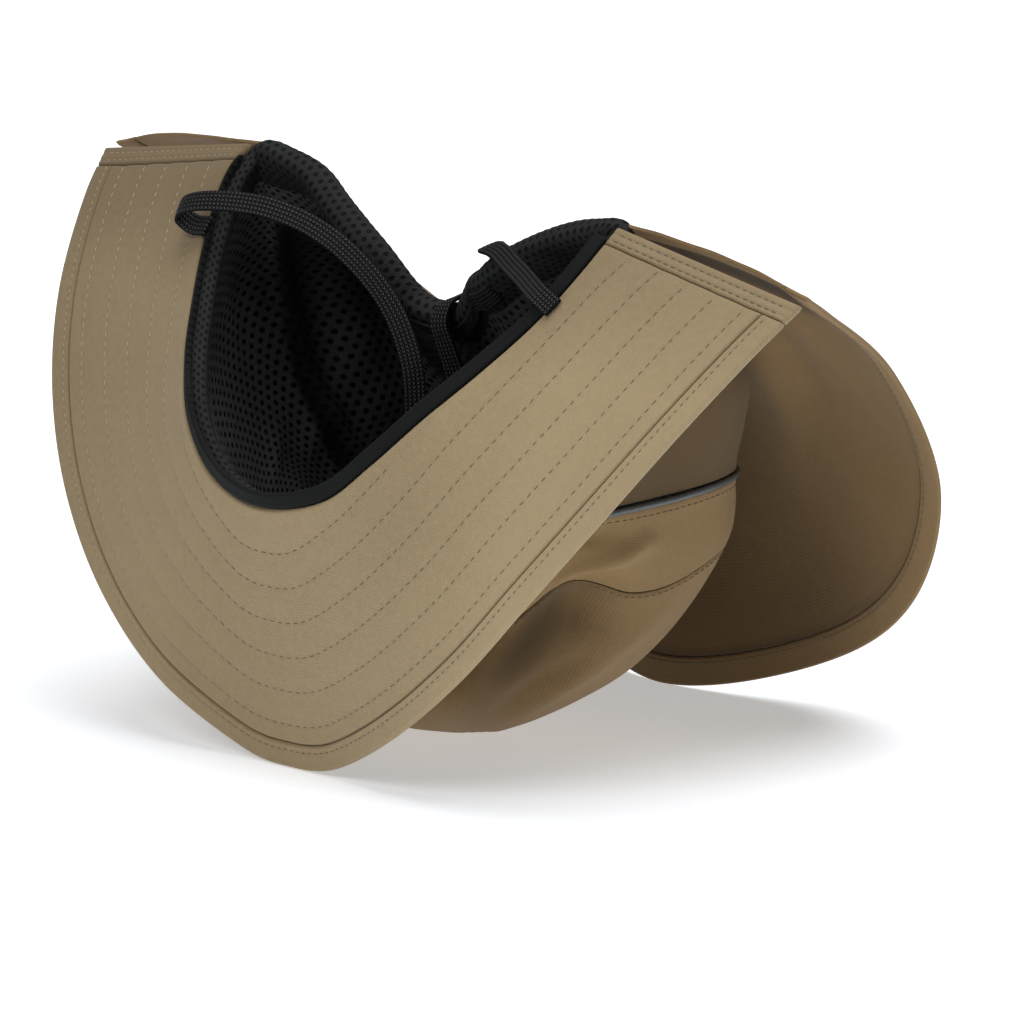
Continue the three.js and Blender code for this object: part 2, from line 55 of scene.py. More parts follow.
# The crown is measured in columns round its opening from the front, and in levels down to its middle.
FRONT_COLUMNS = 16
REAR_COLUMNS = 12
HALF_COLUMNS = FRONT_COLUMNS + REAR_COLUMNS
# Share of half a ring of the crown that the front columns take.
TEMPLE_FRACTION = 0.47
PIPING_LEVEL = 2
TOP_SEAM_LEVEL = 3
LAST_LEVEL = 6
# Millimetres of cloth in one column and one level of the crown, and in one turn and one drop of the cape.
CROWN_PACE = (10.0, 45.0)
CAPE_PACE = (300.0, 200.0)
# The step, in columns and levels, between two points of the crown that its slope is read from.
CROWN_PROBE = 0.01

# Millimetres.
BRIM_DEPTH = 100
LAYER_GAP = 0.7
LINING_THICKNESS = 2.0
ELASTIC_THICKNESS = 1.4
SWEATBAND_THICKNESS = 2.4
PIPING_RADIUS = 1.3
MESH_HOLE_PITCH = 3.6
THREAD_PITCH = 0.8
BRIM_HEM_SEAM = 2.9
CAPE_HEM_SEAM = 2.2
END_BAND_SEAMS = (2.2, 5.6)
# Levels of the crown's two seams, and how far below each its stitches lie.
CROWN_SEAMS = [(PIPING_LEVEL, 5.5), (TOP_SEAM_LEVEL, 1.8)]

# Millimetres, half of each edge from its middle to its right end, with y measured from the foot of the brim.
BRIM_INNER_EDGE = [
    (0, -16, 99), (29, -11.8, 105.6), (48, -5.2, 121.7), (62.4, 7.1, 139.3), (75.5, 23.4, 156.4),
    (86.7, 39.9, 173.6), (94.2, 55.3, 191), (96, 64, 199.4), (95.4, 73, 205.4),
]
BRIM_OUTER_EDGE = [
    (0, 0, 0.06), (12, -0.2, 0.6), (24.2, -0.6, 3.5), (60.4, -6.3, 22.6), (92.6, -4.7, 49),
    (118.8, 2.4, 79.6), (141.7, 16.9, 111.7), (160.3, 37.8, 143.9), (174.7, 65.5, 174.5),
    (180.4, 81.7, 188.6),
]
REAR_EDGE = [
    (0, 84, 158), (12, 80, 163), (30, 72.5, 180.8), (50, 74, 192.8), (72, 76.5, 202), (90, 76.8, 206),
]
CAPE_SHOULDER = [
    (0, 128, 139), (30, 120, 141), (56, 122, 144), (82, 117, 166.5), (108, 104, 190), (124, 80.5, 202),
]
CAPE_FLANK = [
    (0, 180, 104), (48, 180, 108), (84, 174, 121), (112, 160, 143), (138, 132, 172), (152, 84.5, 197.5),
]
CAPE_HEM = [
    (0, 190, 0.18), (72.4, 207, 18.5), (120, 201, 50), (147, 187, 97), (160, 150, 149), (179.5, 86.5, 190.5),
]
# Middle, width and depth of each sag of the opening's rear edge, which all fade out down to LOWEST_SAG.
RIM_SAGS = [(-42, 26, 3.2), (-16, 11, 6.5), (14, 8, -10)]
LOWEST_SAG = 120
# Front y, wide y, rear y, half width, front z, side z and rear z of each ring that shapes the crown, and how
# square its front and its rear corners are.
CROWN_RINGS = [
    (6, 95, 142, 104.5, 82, 152, 104, 2.3, 6),
    (22, 95, 165, 87.5, 62, 96.5, 98, 2.3, 4),
    (34, 98, 165, 78, 42, 58.5, 68, 2.2, 4),
    (21, 98, 151, 59, 23, 26, 36, 2.2, 2.6),
    (84, 94, 106, 12, 0, 0, 0, 2, 2),
]
CROWN_MIDDLE = (0, 94, 0)
# Large folds of the crown: side, column, level, columns wide, levels tall, and millimetres deep and high.
CROWN_FOLDS = [
    (1, 12.5, 3, 3, 0.7, 4, 12),
    (-1, 12.5, 3, 3, 0.7, 4, 12),
    (1, 14, 2.5, 2.5, 0.3, -3, 0),
    (1, 20.5, 3, 2.5, 0.8, -2, 9),
    (-1, 20.5, 3, 2.5, 0.8, -2, 9),
    (-1, 19, 1.2, 1.4, 1.2, 9, 0),
]
# Creases of the crown from one column and level to another, and how wide and high each is in millimetres.
CROWN_CREASES = [
    ((12.0, 2.84), (16.4, 2.4), 5, 4.6),
    ((11.5, 2.46), (14.6, 2.2), 7, -3.2),
    ((12.2, 3.2), (15.2, 3.32), 7, -4.4),
    ((17.9, 3.4), (14.4, 4.2), 10, 3.2),
    ((15.4, 3.7), (12.0, 4.2), 8, -3.0),
    ((16.2, 1.1), (17.4, 1.85), 8, -1.8),
    ((18.6, 0.9), (19.4, 1.7), 9, 1.6),
    ((38.4, 0.45), (38.9, 1.7), 2.6, -3.4),
    ((38.9, 1.7), (38.0, 2.5), 2.6, -3.0),
    ((36.8, 1.5), (40.6, 2.3), 4, -1.8),
    ((41.5, 1.9), (44.5, 2.3), 4, -1.8),
    ((40.0, 0.7), (41.4, 1.5), 6, 1.4),
    ((45.0, 0.8), (47.0, 1.8), 7, 1.6),
    ((33.0, 0.5), (33.6, 1.6), 5, -2.0),
    ((8.0, 1.0), (9.5, 2.4), 8, 1.6),
    ((22.5, 1.2), (23.4, 2.6), 8, -1.6),
]
# Columns and levels down the deep fold of the lining's left wall.
LINING_FOLD = [(38.5, 0.3), (39.0, 1.22), (39.5, 1.66), (39.5, 2.14), (39.0, 2.8)]
# Creases of the cape from one turn and drop to another, and how wide and high each is in millimetres.
CAPE_CREASES = [
    ((0.73, 0.50), (0.64, 0.74), 7, 1.4),
    ((0.68, 0.50), (0.50, 0.69), 8, -1.6),
    ((0.60, 0.48), (0.29, 0.73), 10, 2.2),
    ((0.48, 0.46), (0.24, 0.62), 12, -2.0),
    ((-0.70, 0.50), (-0.40, 0.75), 10, 2.0),
]
# The rim binding beside the crown's rim: way out and way up, in millimetres, behind and at the front.
REAR_BINDING = [
    (-3.6, -15), (-4.5, -9), (-4.7, -3), (-4.2, 0.6), (-3, 1.8), (-1, 2.2), (1.6, 2), (4.2, 0.4), (6, -4),
]
FRONT_BINDING = [
    (-3.7, -15), (-4.4, -9), (-4.8, -3.5), (-4.8, -0.8), (-4.2, 0.1), (-3.2, 0.4), (-2, 0.5), (-0.6, 0.5),
    (0.4, 0.4),
]
# Metres, with y from the foot of the brim, along the strap from its left seam over the brim, down into the
# crown, over the rear rim and up to its right seam.
STRAP_ROUTE = [
    (-0.0897, 0.0436, 0.1799), (-0.0934, 0.0435, 0.1796), (-0.097, 0.0433, 0.1806), (-0.0995, 0.042, 0.183),
    (-0.098, 0.0405, 0.186), (-0.0935, 0.04, 0.1883), (-0.0865, 0.0415, 0.19), (-0.076, 0.046, 0.1906),
    (-0.065, 0.0505, 0.1899), (-0.052, 0.056, 0.1863), (-0.04, 0.0595, 0.181), (-0.031, 0.062, 0.175),
    (-0.022, 0.0648, 0.1665), (-0.015, 0.0667, 0.1575), (-0.01, 0.0673, 0.149), (-0.005, 0.0675, 0.136),
    (-0.003, 0.067, 0.11), (-0.002, 0.067, 0.07), (-0.001, 0.069, 0.035), (0, 0.076, 0.016),
    (0.004, 0.088, 0.009), (0.01, 0.097, 0.011), (0.014, 0.092, 0.025), (0.014, 0.086, 0.06),
    (0.012, 0.082, 0.105), (0.007, 0.0785, 0.132), (0.004, 0.075, 0.147), (0.0022, 0.074, 0.1535),
    (0.0015, 0.0777, 0.1598), (0.002, 0.084, 0.1618), (0.006, 0.091, 0.165), (0.012, 0.0935, 0.172),
    (0.017, 0.09, 0.1795), (0.0215, 0.082, 0.1839), (0.028, 0.0735, 0.1863), (0.041, 0.0663, 0.1882),
    (0.056, 0.058, 0.187), (0.07, 0.0505, 0.1858), (0.0836, 0.0441, 0.1832), (0.09, 0.0436, 0.1804),
]
# Share of the strap's length, and the way in which it is wide there.
STRAP_WIDTHWAYS = [
    (0, -0.31, 0.63, 0.71), (0.08, 0.1, 0.6, 0.75), (0.2, 0.28, 0.53, 0.72), (0.3, 0.67, 0.71, 0.07),
    (0.66, 0.78, 0.62, 0), (0.76, 0.95, 0.1, 0.1), (0.8, 0.83, -0.28, 0.48), (0.835, 0.3, -0.95, 0.05),
    (0.87, -0.5, -0.72, -0.35), (0.9, -0.6, -0.6, -0.45), (1, -0.4, -0.58, -0.62),
]
STRAP_RIBS = 5

# Name, the way from the hat to the light, its strength and how many degrees wide it looks.
LIGHTS = [
    ("key_light", (0.14, -0.7, 0.7), 1.05, 30),
    ("top_light", (0.1, 0.2, 0.97), 2.5, 60),
]
SKY_STRENGTH = 0.05
FLOOR_GLOW = 0.42
FLOOR_SIZE = 12
# Metres, degrees and, for the lens and the sensor, millimetres.
CAMERA_TARGET = (0.0, 0.01797, 0.0766)
CAMERA_DISTANCE = 15.5
CAMERA_AZIMUTH = 45.6
CAMERA_ELEVATION = 13.3
CAMERA_LENS = 1498.5
CAMERA_SENSOR = 36.0


def unit(vectors):
    """The vectors, each made one long."""
    return vectors / np.maximum(np.linalg.norm(vectors, axis=-1, keepdims=True), 1e-12)


def travelled_along(line):
    """Distance from a line's first point to each of its points."""
    return np.concatenate([[0], np.cumsum(np.linalg.norm(np.diff(line, axis=0), axis=1))])


def bell(distance, width):
    """1 in the middle, falling to nothing over about two widths."""
    return np.exp(-(distance / width) ** 2)


def ramp(value, low, high):
    """0 below low, 1 above high, and smooth between."""
    part = np.clip((value - low) / (high - low), 0, 1)
    return part * part * (3 - 2 * part)


def ripples(x, y, seed, scale=1.0):
    """Soft uneven waves between about -1 and 1, the same on every run."""
    source = np.random.RandomState(seed)
    total = 0
    for _ in range(6):
        turn = source.uniform(0, 2 * math.pi)
        phase = source.uniform(0, 2 * math.pi)
        pace = source.uniform(0.5, 1.6)
        total = total + np.sin((x * math.cos(turn) + y * math.sin(turn)) * pace / scale + phase)
    return total / 4


def smooth_line(points, t):
    """Points at t, from 0 to 1, on a smooth line through points, or on several lines side by side."""
    points = np.asarray(points, float)
    points = np.concatenate([2 * points[:1] - points[1:2], points, 2 * points[-1:] - points[-2:-1]])
    place = np.clip(t, 0, 1) * (len(points) - 3)
    first = np.minimum(place.astype(int), len(points) - 4)
    part = (place - first)[..., None]
    line = () if points.ndim == 2 else (np.arange(points.shape[1])[:, None],)
    before, here, after, beyond = (points[(first + step, *line)] for step in range(4))
    gaps = [
        np.maximum(np.linalg.norm(b - a, axis=-1, keepdims=True), 1e-6) ** 0.5
        for a, b in ((before, here), (here, after), (after, beyond))
    ]
    first_gap, gap, last_gap = gaps
    leaving = (here - before) / first_gap - (after - before) / (first_gap + gap) + (after - here) / gap
    arriving = (after - here) / gap - (beyond - here) / (gap + last_gap) + (beyond - after) / last_gap
    leaving, arriving = leaving * gap, arriving * gap
    square = 3 * (after - here) - 2 * leaving - arriving
    cube = 2 * (here - after) + leaving + arriving
    return here + leaving * part + square * part ** 2 + cube * part ** 3


def even_line(points):
    """A function from a share of a smooth line's length to its point, and that length."""
    table = np.linspace(0, 1, 1201)
    travelled = travelled_along(smooth_line(points, table))
    length = travelled[-1]
    return (lambda share: smooth_line(points, np.interp(share, travelled / length, table))), length


def mirrored(points):
    """A whole edge from its right half, whose first point is in the middle."""
    points = np.asarray(points, float)
    return np.concatenate([points[:0:-1] * (-1, 1, 1), points])


inner_edge, INNER_LENGTH = even_line(mirrored(BRIM_INNER_EDGE))
outer_edge, OUTER_LENGTH = even_line(mirrored(BRIM_OUTER_EDGE))
rear_edge = even_line(mirrored(REAR_EDGE))[0]


def grid_normals(points):
    """Unit normals of a grid of points by column and row: the way down crossed with the way across."""
    return unit(np.cross(np.gradient(points, axis=1), np.gradient(points, axis=0)))


def placed(surface, u, v, probe=0.002):
    """Points of a surface, and its normals there, from steps of the size probe beside them."""
    across = surface(u + probe, v) - surface(u - probe, v)
    down = surface(u, v + probe) - surface(u, v - probe)
    return surface(u, v), unit(np.cross(down, across))


def brim_width(u):
    """Millimetres across the brim at u, from its inner edge to its outer edge."""
    return np.linalg.norm(outer_edge((1 + u) / 2) - inner_edge((1 + u) / 2), axis=-1)


def brim_surface(u, reach):
    """The brim's visible face. u is -1 at its left end and 1 at its right, reach 0 inside and 1 outside."""
    u, reach = np.broadcast_arrays(u, reach)
    over = np.clip(u, -1, 1)
    inner, outer = inner_edge((1 + over) / 2), outer_edge((1 + over) / 2)
    return inner + (outer - inner) * reach[..., None]


def end_band_start(reach, band):
    """The place, from 0 in the middle to 1 at the brim's end, where an end band starts."""
    half = (INNER_LENGTH + (OUTER_LENGTH - INNER_LENGTH) * reach) / 2
    return 1 - band / half


def sagged(points):
    """The points with the rear edge's sags pressed into their upper part."""
    height = np.clip((points[..., 2] - LOWEST_SAG) / (REAR_EDGE[2][2] - LOWEST_SAG), 0, 1)
    for middle, wide, depth in RIM_SAGS:
        points[..., 2] -= depth * height * bell(points[..., 0] - middle, wide)
    return points


def cape_surface(turn, drop):
    """The cape's outer face. turn is -1 at its left front edge and 1 at its right, drop 0 at the opening."""
    turn, drop = np.broadcast_arrays(turn, drop)
    shape = turn.shape
    turn, drop = np.clip(turn.reshape(-1), -1, 1), drop.reshape(-1, 1)
    share = (1 + turn) / 2
    root = rear_edge(share) + (0, 3, -0.8)
    rows = [root] + [smooth_line(mirrored(row), share) for row in (CAPE_SHOULDER, CAPE_FLANK, CAPE_HEM)]
    return sagged(smooth_line(np.stack(rows), drop).reshape(*shape, 3))


def half_ring(ring):
    """A function from a share of a ring's right half, front to rear, to its point."""
    front_y, wide_y, rear_y, half_width, front_z, side_z, rear_z, front_square, rear_square = ring
    angle = np.linspace(0, math.pi, 61)
    front = angle <= math.pi / 2
    power = 2 / np.where(front, front_square, rear_square)
    along = np.abs(np.cos(angle)) ** power
    across = np.abs(np.sin(angle)) ** power
    y = wide_y + (np.where(front, front_y, rear_y) - wide_y) * along
    z = side_z + (np.where(front, front_z, rear_z) - side_z) * (1 - across ** 2)
    return even_line(np.stack([half_width * across, y, z], axis=1))[0]


def opening_edge(column):
    """The opening's edge at whole columns from the front middle: point, way out and way behind the brim."""
    front = column <= FRONT_COLUMNS
    place = np.where(front, column / FRONT_COLUMNS, 1 - (column - FRONT_COLUMNS - 1) / (REAR_COLUMNS - 1))
    place = np.clip(place, 0, 1)
    share = (1 + place) / 2
    probe = 0.0005
    ahead, back = np.minimum(share + probe, 1), share - probe
    pick = front[..., None]
    point = np.where(pick, inner_edge(share), rear_edge(share))
    along = np.where(pick, inner_edge(ahead) - inner_edge(back), rear_edge(back) - rear_edge(ahead))
    outside = np.where(pick, outer_edge(share), cape_surface(place, np.full(place.shape, 0.1)))
    outward = unit(outside - point)
    return point, outward, unit(np.cross(along, outward))


def crown_controls():
    """Points that shape the crown: seven down each whole column of its right half, opening to middle."""
    column = np.arange(HALF_COLUMNS + 1)
    point, _, behind = opening_edge(column)
    front = (column <= FRONT_COLUMNS)[:, None]
    start = np.where(front, point + behind * 3.6, point - (0, 0, 2.4))
    share = np.where(
        column <= FRONT_COLUMNS,
        TEMPLE_FRACTION * column / FRONT_COLUMNS,
        TEMPLE_FRACTION + (1 - TEMPLE_FRACTION) * (column - FRONT_COLUMNS) / REAR_COLUMNS,
    )
    rings = [half_ring(ring)(share) for ring in CROWN_RINGS]
    middle = np.broadcast_to(np.asarray(CROWN_MIDDLE, float), start.shape)
    right = np.stack([start, *rings, middle])
    left = right[:, -2:0:-1] * (-1, 1, 1)
    return np.concatenate([right, left], axis=1)


CROWN_CONTROLS = crown_controls()


def crown_surface(column, level):
    """The crown's outer face by column and level."""
    column, level = np.broadcast_arrays(column, level)
    shape = column.shape
    column, level = column.reshape(-1) % (2 * HALF_COLUMNS), level.reshape(-1, 1)
    loop = np.concatenate([CROWN_CONTROLS[:, -3:], CROWN_CONTROLS, CROWN_CONTROLS[:, :4]], axis=1)
    share = (column + 3) / (loop.shape[1] - 1)
    rows = np.stack([smooth_line(row, share) for row in loop])
    points = smooth_line(rows, level / LAST_LEVEL)[:, 0]
    points[:, 2] = np.maximum(points[:, 2], 0)
    left = column > HALF_COLUMNS
    side_column = np.where(left, 2 * HALF_COLUMNS - column, column)
    inward = unit(np.stack([-points[:, 0], CROWN_MIDDLE[1] - points[:, 1], 0 * points[:, 0]], axis=1))
    for side, fold_column, fold_level, wide, tall, deep, lift in CROWN_FOLDS:
        share = bell(side_column - fold_column, wide) * bell(level[:, 0] - fold_level, tall)
        share = share * np.where(left, side < 0, side > 0)
        points += inward * (deep * share)[:, None]
        points[:, 2] += lift * share
    rear = side_column > FRONT_COLUMNS
    points[rear] = sagged(points[rear])
    return points.reshape(*shape, 3)


class Channel:
    """A shader socket that maths can be written on."""

    def __init__(self, tree, socket):
        self.tree = tree
        self.socket = socket

    def node(self, kind, settings=None, **values):
        """Adds a node, sets it up and feeds its sockets, named with _ for a space or numbered as in0."""
        made = self.tree.nodes.new(kind)
        for name, setting in (settings or {}).items():
            setattr(made, name, setting)
        for name, value in values.items():
            numbered = name.startswith("in") and name[2:].isdigit()
            socket = made.inputs[int(name[2:]) if numbered else name.replace("_", " ")]
            if isinstance(value, Channel):
                self.tree.links.new(value.socket, socket)
            else:
                socket.default_value = value
        return made

    def of(self, made, name=0):
        return Channel(self.tree, made.outputs[name])

    def math(self, operation, *values):
        feeds = {f"in{place}": value for place, value in enumerate(values)}
        return self.of(self.node("ShaderNodeMath", {"operation": operation}, **feeds))

    def __add__(self, other):
        return self.math("ADD", self, other)

    def __radd__(self, other):
        return self.math("ADD", other, self)

    def __sub__(self, other):
        return self.math("SUBTRACT", self, other)

    def __rsub__(self, other):
        return self.math("SUBTRACT", other, self)

    def __mul__(self, other):
        return self.math("MULTIPLY", self, other)

    def __rmul__(self, other):
        return self.math("MULTIPLY", other, self)

    def __truediv__(self, other):
        return self.math("DIVIDE", self, other)

    def __rtruediv__(self, other):
        return self.math("DIVIDE", other, self)

    def wave(self):
        return self.math("SINE", self)

    def part(self):
        return self.math("FRACT", self)

    def least(self, other):
        return self.math("MINIMUM", self, other)

    def most(self, other):
        return self.math("MAXIMUM", self, other)

    def root(self):
        return self.math("SQRT", self)

    def clear(self):
        return self.math("MINIMUM", self.math("MAXIMUM", self, 0.0), 1.0)

    def blend(self, low, high):
        """The colour low where this is 0 and high where it is 1."""
        mixed = self.node("ShaderNodeMix", {"data_type": "RGBA"}, in0=self, in6=low, in7=high)
        return self.of(mixed, 2)


def linear(color):
    """A colour seen on a screen, 0 to 255, as the light it stands for."""
    screen = np.array(color) / 255
    light = np.where(screen <= 0.04045, screen / 12.92, ((screen + 0.055) / 1.055) ** 2.4)
    return (*light.tolist(), 1.0)


class Finish:
    """A new material with its main shader, and the coordinates in metres that patterns read."""

    def __init__(self, name, **constants):
        self.material = bpy.data.materials.new(name)
        self.material.use_nodes = True
        self.tree = self.material.node_tree
        self.shader = self.tree.nodes["Principled BSDF"]
        for socket, value in constants.items():
            self.shader.inputs[socket.replace("_", " ")].default_value = value
        self.start = Channel(self.tree, None)
        places = self.start.node("ShaderNodeTexCoord")
        self.object = self.start.of(places, "Object")
        lanes = self.start.node("ShaderNodeSeparateXYZ", Vector=self.start.of(places, "UV"))
        self.u, self.v = self.start.of(lanes, 0), self.start.of(lanes, 1)
        sides = self.start.node("ShaderNodeSeparateXYZ", Vector=self.object)
        self.x, self.z = self.start.of(sides, 0), self.start.of(sides, 2)

    def feed(self, socket, value):
        self.tree.links.new(value.socket, self.shader.inputs[socket.replace("_", " ")])

    def noise(self, scale, detail=3.0):
        made = self.start.node("ShaderNodeTexNoise", Vector=self.object, Scale=scale, Detail=detail)
        return self.start.of(made, 0)

    def ribs(self, place, pitch):
        """Soft ribs, 0 to 1, one to each pitch in millimetres along a lane of places in metres."""
        return (place * (2 * math.pi / (pitch * MM))).wave() * 0.5 + 0.5

    def lane(self, name):
        """A number stored on the mesh."""
        made = self.start.node("ShaderNodeAttribute", {"attribute_name": name})
        return self.start.of(made, "Fac")

    def raise_by(self, height, distance, strength=1.0):
        bump = self.start.node("ShaderNodeBump", Height=height, Distance=distance, Strength=strength)
        self.tree.links.new(bump.outputs[0], self.shader.inputs["Normal"])


def woven_cloth(name, color, painted_side_light=False):
    """Matt nylon cloth: fine threads in a grid and faint slubs, with painted light to its right where asked.

    The painted shading lane paints light below 0, shade up to 1, and beyond that shadow near black.
    """
    cloth = Finish(name, Roughness=0.85, Sheen_Weight=0.1, Sheen_Roughness=0.5, Specular_IOR_Level=0.25)
    threads = cloth.ribs(cloth.u, THREAD_PITCH) * cloth.ribs(cloth.v, THREAD_PITCH)
    slub = cloth.noise(420.0, 4.0)
    broad = cloth.noise(16.0, 2.0)
    crease = cloth.lane("crease")
    shade = (slub - 0.5) * 0.3 + (broad - 0.5) * 0.25 + (threads - 0.25) * 0.34 - crease * 0.6 + 0.5
    # Painted light towards the right wing, brightest in a band on it, and painted shade towards the top.
    if painted_side_light:
        painted_light_by_side = ((cloth.x + 0.2) / 0.25).clear() * 0.8 + ((cloth.x - 0.06) / 0.05).clear() * 0.6
        shaded_top = ((cloth.z - 0.155) / 0.04).clear() * 0.9
        shade = shade + (painted_light_by_side - shaded_top - 0.6) * 0.5
    dark = linear(color * (0.80, 0.78, 0.75))
    light = linear(color * (1.16, 1.17, 1.18))
    # Near black for the deepest painted shadow.
    near_black = linear((9, 7, 5))
    deep_painted_shadow = (crease - 1.0).clear()
    cloth.feed("Base_Color", deep_painted_shadow.blend(shade.clear().blend(dark, light), near_black))
    cloth.raise_by(threads + slub * 0.5, 0.00012, 0.5)
    return cloth.material


def thread_finish(name):
    """Sewing thread, light on the left wing and darker elsewhere: painted shade for shadow in its dimples."""
    thread = Finish(name, Roughness=0.7)
    twist = (thread.u * 2400.0 + thread.v * 1200.0).wave() * 0.5 + 0.5
    # Painted shade: the thread darkens to the right of the left wing.
    shaded = ((thread.x + 0.07) / 0.05).clear()
    color = shown("thread")
    thread.feed("Base_Color", shaded.blend(linear(color), linear(color * 0.6)))
    thread.raise_by(twist, 0.00006, 0.4)
    return thread.material


def holed_mesh(name, shade_of_black=78, plain_from=None):
    """Black spacer mesh: round holes in staggered rows over a fine knit, plain beyond x = plain_from."""
    mesh = Finish(name, Roughness=0.75, Sheen_Weight=0.02, Specular_IOR_Level=0.14)
    pitch = MESH_HOLE_PITCH
    two_rows = 4.6
    hole_radius, hole_edge = 0.62, 0.45

    def hole_distance(shift):
        x = ((mesh.u / (pitch * MM) + shift).part() - 0.5) * pitch
        y = ((mesh.v / (two_rows * MM) + shift).part() - 0.5) * (two_rows * 1.2)
        return (x * x + y * y).root()

    nearest = hole_distance(0.0).least(hole_distance(0.5))
    body = ((nearest - hole_radius) / hole_edge).clear()
    if plain_from is not None:
        body = body.most(((mesh.x - plain_from) / 0.03).clear())
    loops = 2 * math.pi / (THREAD_PITCH * MM)
    knit = (mesh.u * loops).wave() * (mesh.v * loops).wave() * 0.5 + 0.5
    patches = mesh.noise(45.0, 3.0)
    # Painted shadow where the lane of painted shading asks, as beside the lining's fold.
    lit = 1.0 - mesh.lane("crease") * 0.92
    shade = (body * (knit * 0.35 + patches * 0.7 + 0.3) * lit).clear()
    yarn = linear((shade_of_black - 1, shade_of_black, shade_of_black))
    mesh.feed("Base_Color", shade.blend(linear((5, 5, 5)), yarn))
    mesh.raise_by(body + knit * body * 0.25, 0.0005, 0.7)
    return mesh.material


def elastic_finish(name):
    """Black ribbed elastic with its ribs along its length."""
    elastic = Finish(name, Roughness=0.7, Sheen_Weight=0.02, Specular_IOR_Level=0.15)
    ribs = elastic.ribs(elastic.v, 1.3)
    loops = elastic.ribs(elastic.u, THREAD_PITCH)
    shade = (ribs * 0.8 + loops * 0.2).clear()
    elastic.feed("Base_Color", shade.blend(linear((6, 6, 6)), linear((40, 41, 41))))
    elastic.raise_by(ribs + loops * 0.2, 0.0004, 0.8)
    return elastic.material


def braid_finish(name):
    """Black flat braid: slanted strands, changing direction at every rib, with painted highlights."""
    braid = Finish(name, Roughness=0.6, Specular_IOR_Level=0.14)
    strand_pitch = 1.5
    side = ((braid.v * float(STRAP_RIBS)).part() - 0.5) * 2.0
    lean = side.math("ABSOLUTE", side)
    strands = ((braid.u / (strand_pitch * MM) + lean * 0.8) * (2 * math.pi)).wave() * 0.5 + 0.5
    crown = 1.0 - lean * lean
    # Painted highlights along the strands' tops and each rib's crown, painted shade towards the ribs' sides.
    shade = (strands * strands * strands * crown * crown).clear()
    braid.feed("Base_Color", shade.blend(linear((2, 2, 2)), linear((84, 84, 87))))
    braid.raise_by(crown + strands * 0.5, 0.00045, 0.9)
    return braid.material


def piping_finish(name):
    """Grey reflective tape over a cord: fine beads and a soft metal shine."""
    tape = Finish(name, Roughness=0.42, Metallic=0.2, Specular_IOR_Level=0.5)
    beads = tape.noise(1500.0, 2.0)
    tape.feed("Base_Color", beads.blend(linear((70, 74, 76)), linear((108, 113, 115))))
    tape.raise_by(beads, 0.00006, 0.4)
    return tape.material


def floor_finish(name):
    """White paper that glows a little, as a backdrop lit from behind does."""
    white = (1.0, 1.0, 1.0, 1.0)
    floor = Finish(
        name, Roughness=0.9, Specular_IOR_Level=0.1, Emission_Color=white, Emission_Strength=FLOOR_GLOW)
    grain = floor.noise(30.0, 2.0)
    floor.feed("Base_Color", grain.blend((0.84, 0.87, 0.92, 1), (0.86, 0.89, 0.94, 1)))
    return floor.material


def deselect():
    """Leaves edit mode and selects nothing."""
    if bpy.context.object and bpy.context.object.mode != "OBJECT":
        bpy.ops.object.mode_set(mode="OBJECT")
    bpy.ops.object.select_all(action="DESELECT")


def take(piece):
    """Selects one piece alone and makes it the active one."""
    deselect()
    piece.select_set(True)
    bpy.context.view_layer.objects.active = piece


def smooth_piece(name, points, faces, uv, creases=None):
    """A smooth mesh at the origin, from points and flat places in millimetres from the foot."""
    mesh = bpy.data.meshes.new(name)
    mesh.from_pydata(((points - (0, FOOT_TO_MIDDLE, 0)) * MM).tolist(), [], faces)
    corners = np.empty(len(mesh.loops), int)
    mesh.loops.foreach_get("vertex_index", corners)
    layer = mesh.uv_layers.new(name="UVMap")
    layer.data.foreach_set("uv", (uv[corners] * MM).astype(np.float32).reshape(-1))
    # A lane of painted shading: painted shade above 0 and painted light below it.
    if creases is not None:
        lane = mesh.attributes.new("crease", "FLOAT", "POINT")
        lane.data.foreach_set("value", creases.astype(np.float32))
    piece = bpy.data.objects.new(name, mesh)
    bpy.context.collection.objects.link(piece)
    take(piece)
    bpy.ops.object.shade_smooth()
    return piece


def merge_doubles(piece, turn_out=False):
    """Closes a piece where its points meet and, where asked, turns its faces outwards."""
    take(piece)
    bpy.ops.object.mode_set(mode="EDIT")
    bpy.ops.mesh.select_all(action="SELECT")
    bpy.ops.mesh.remove_doubles(threshold=0.000002)
    if turn_out:
        bpy.ops.mesh.normals_make_consistent(inside=False)
    bpy.ops.object.mode_set(mode="OBJECT")
    return piece


def grid_faces(columns, rows):
    """The corners of each face of a grid whose points run down one column after another."""
    index = np.arange(columns * rows).reshape(columns, rows)
    corners = [index[:-1, :-1], index[:-1, 1:], index[1:, 1:], index[1:, :-1]]
    return np.stack(corners, axis=-1).reshape(-1, 4)


def cloth_wall(name, front, back, uv, front_painted_shading=None, back_painted_shading=None):
    """A closed wall between two skins that meet at their rims, from grids of points by column and row."""
    columns, rows = front.shape[:2]
    quads = grid_faces(columns, rows)
    faces = np.concatenate([quads, quads[:, ::-1] + columns * rows]).tolist()
    points = np.concatenate([front.reshape(-1, 3), back.reshape(-1, 3)])
    flat = np.tile(uv.reshape(-1, 2), (2, 1))
    # Painted shading for each skin; the back skin takes the front's unless given its own.
    if front_painted_shading is None:
        front_painted_shading = np.zeros((columns, rows))
    if back_painted_shading is None:
        back_painted_shading = front_painted_shading
    creases = np.concatenate([front_painted_shading.reshape(-1), back_painted_shading.reshape(-1)])
    return merge_doubles(smooth_piece(name, points, faces, flat, creases))


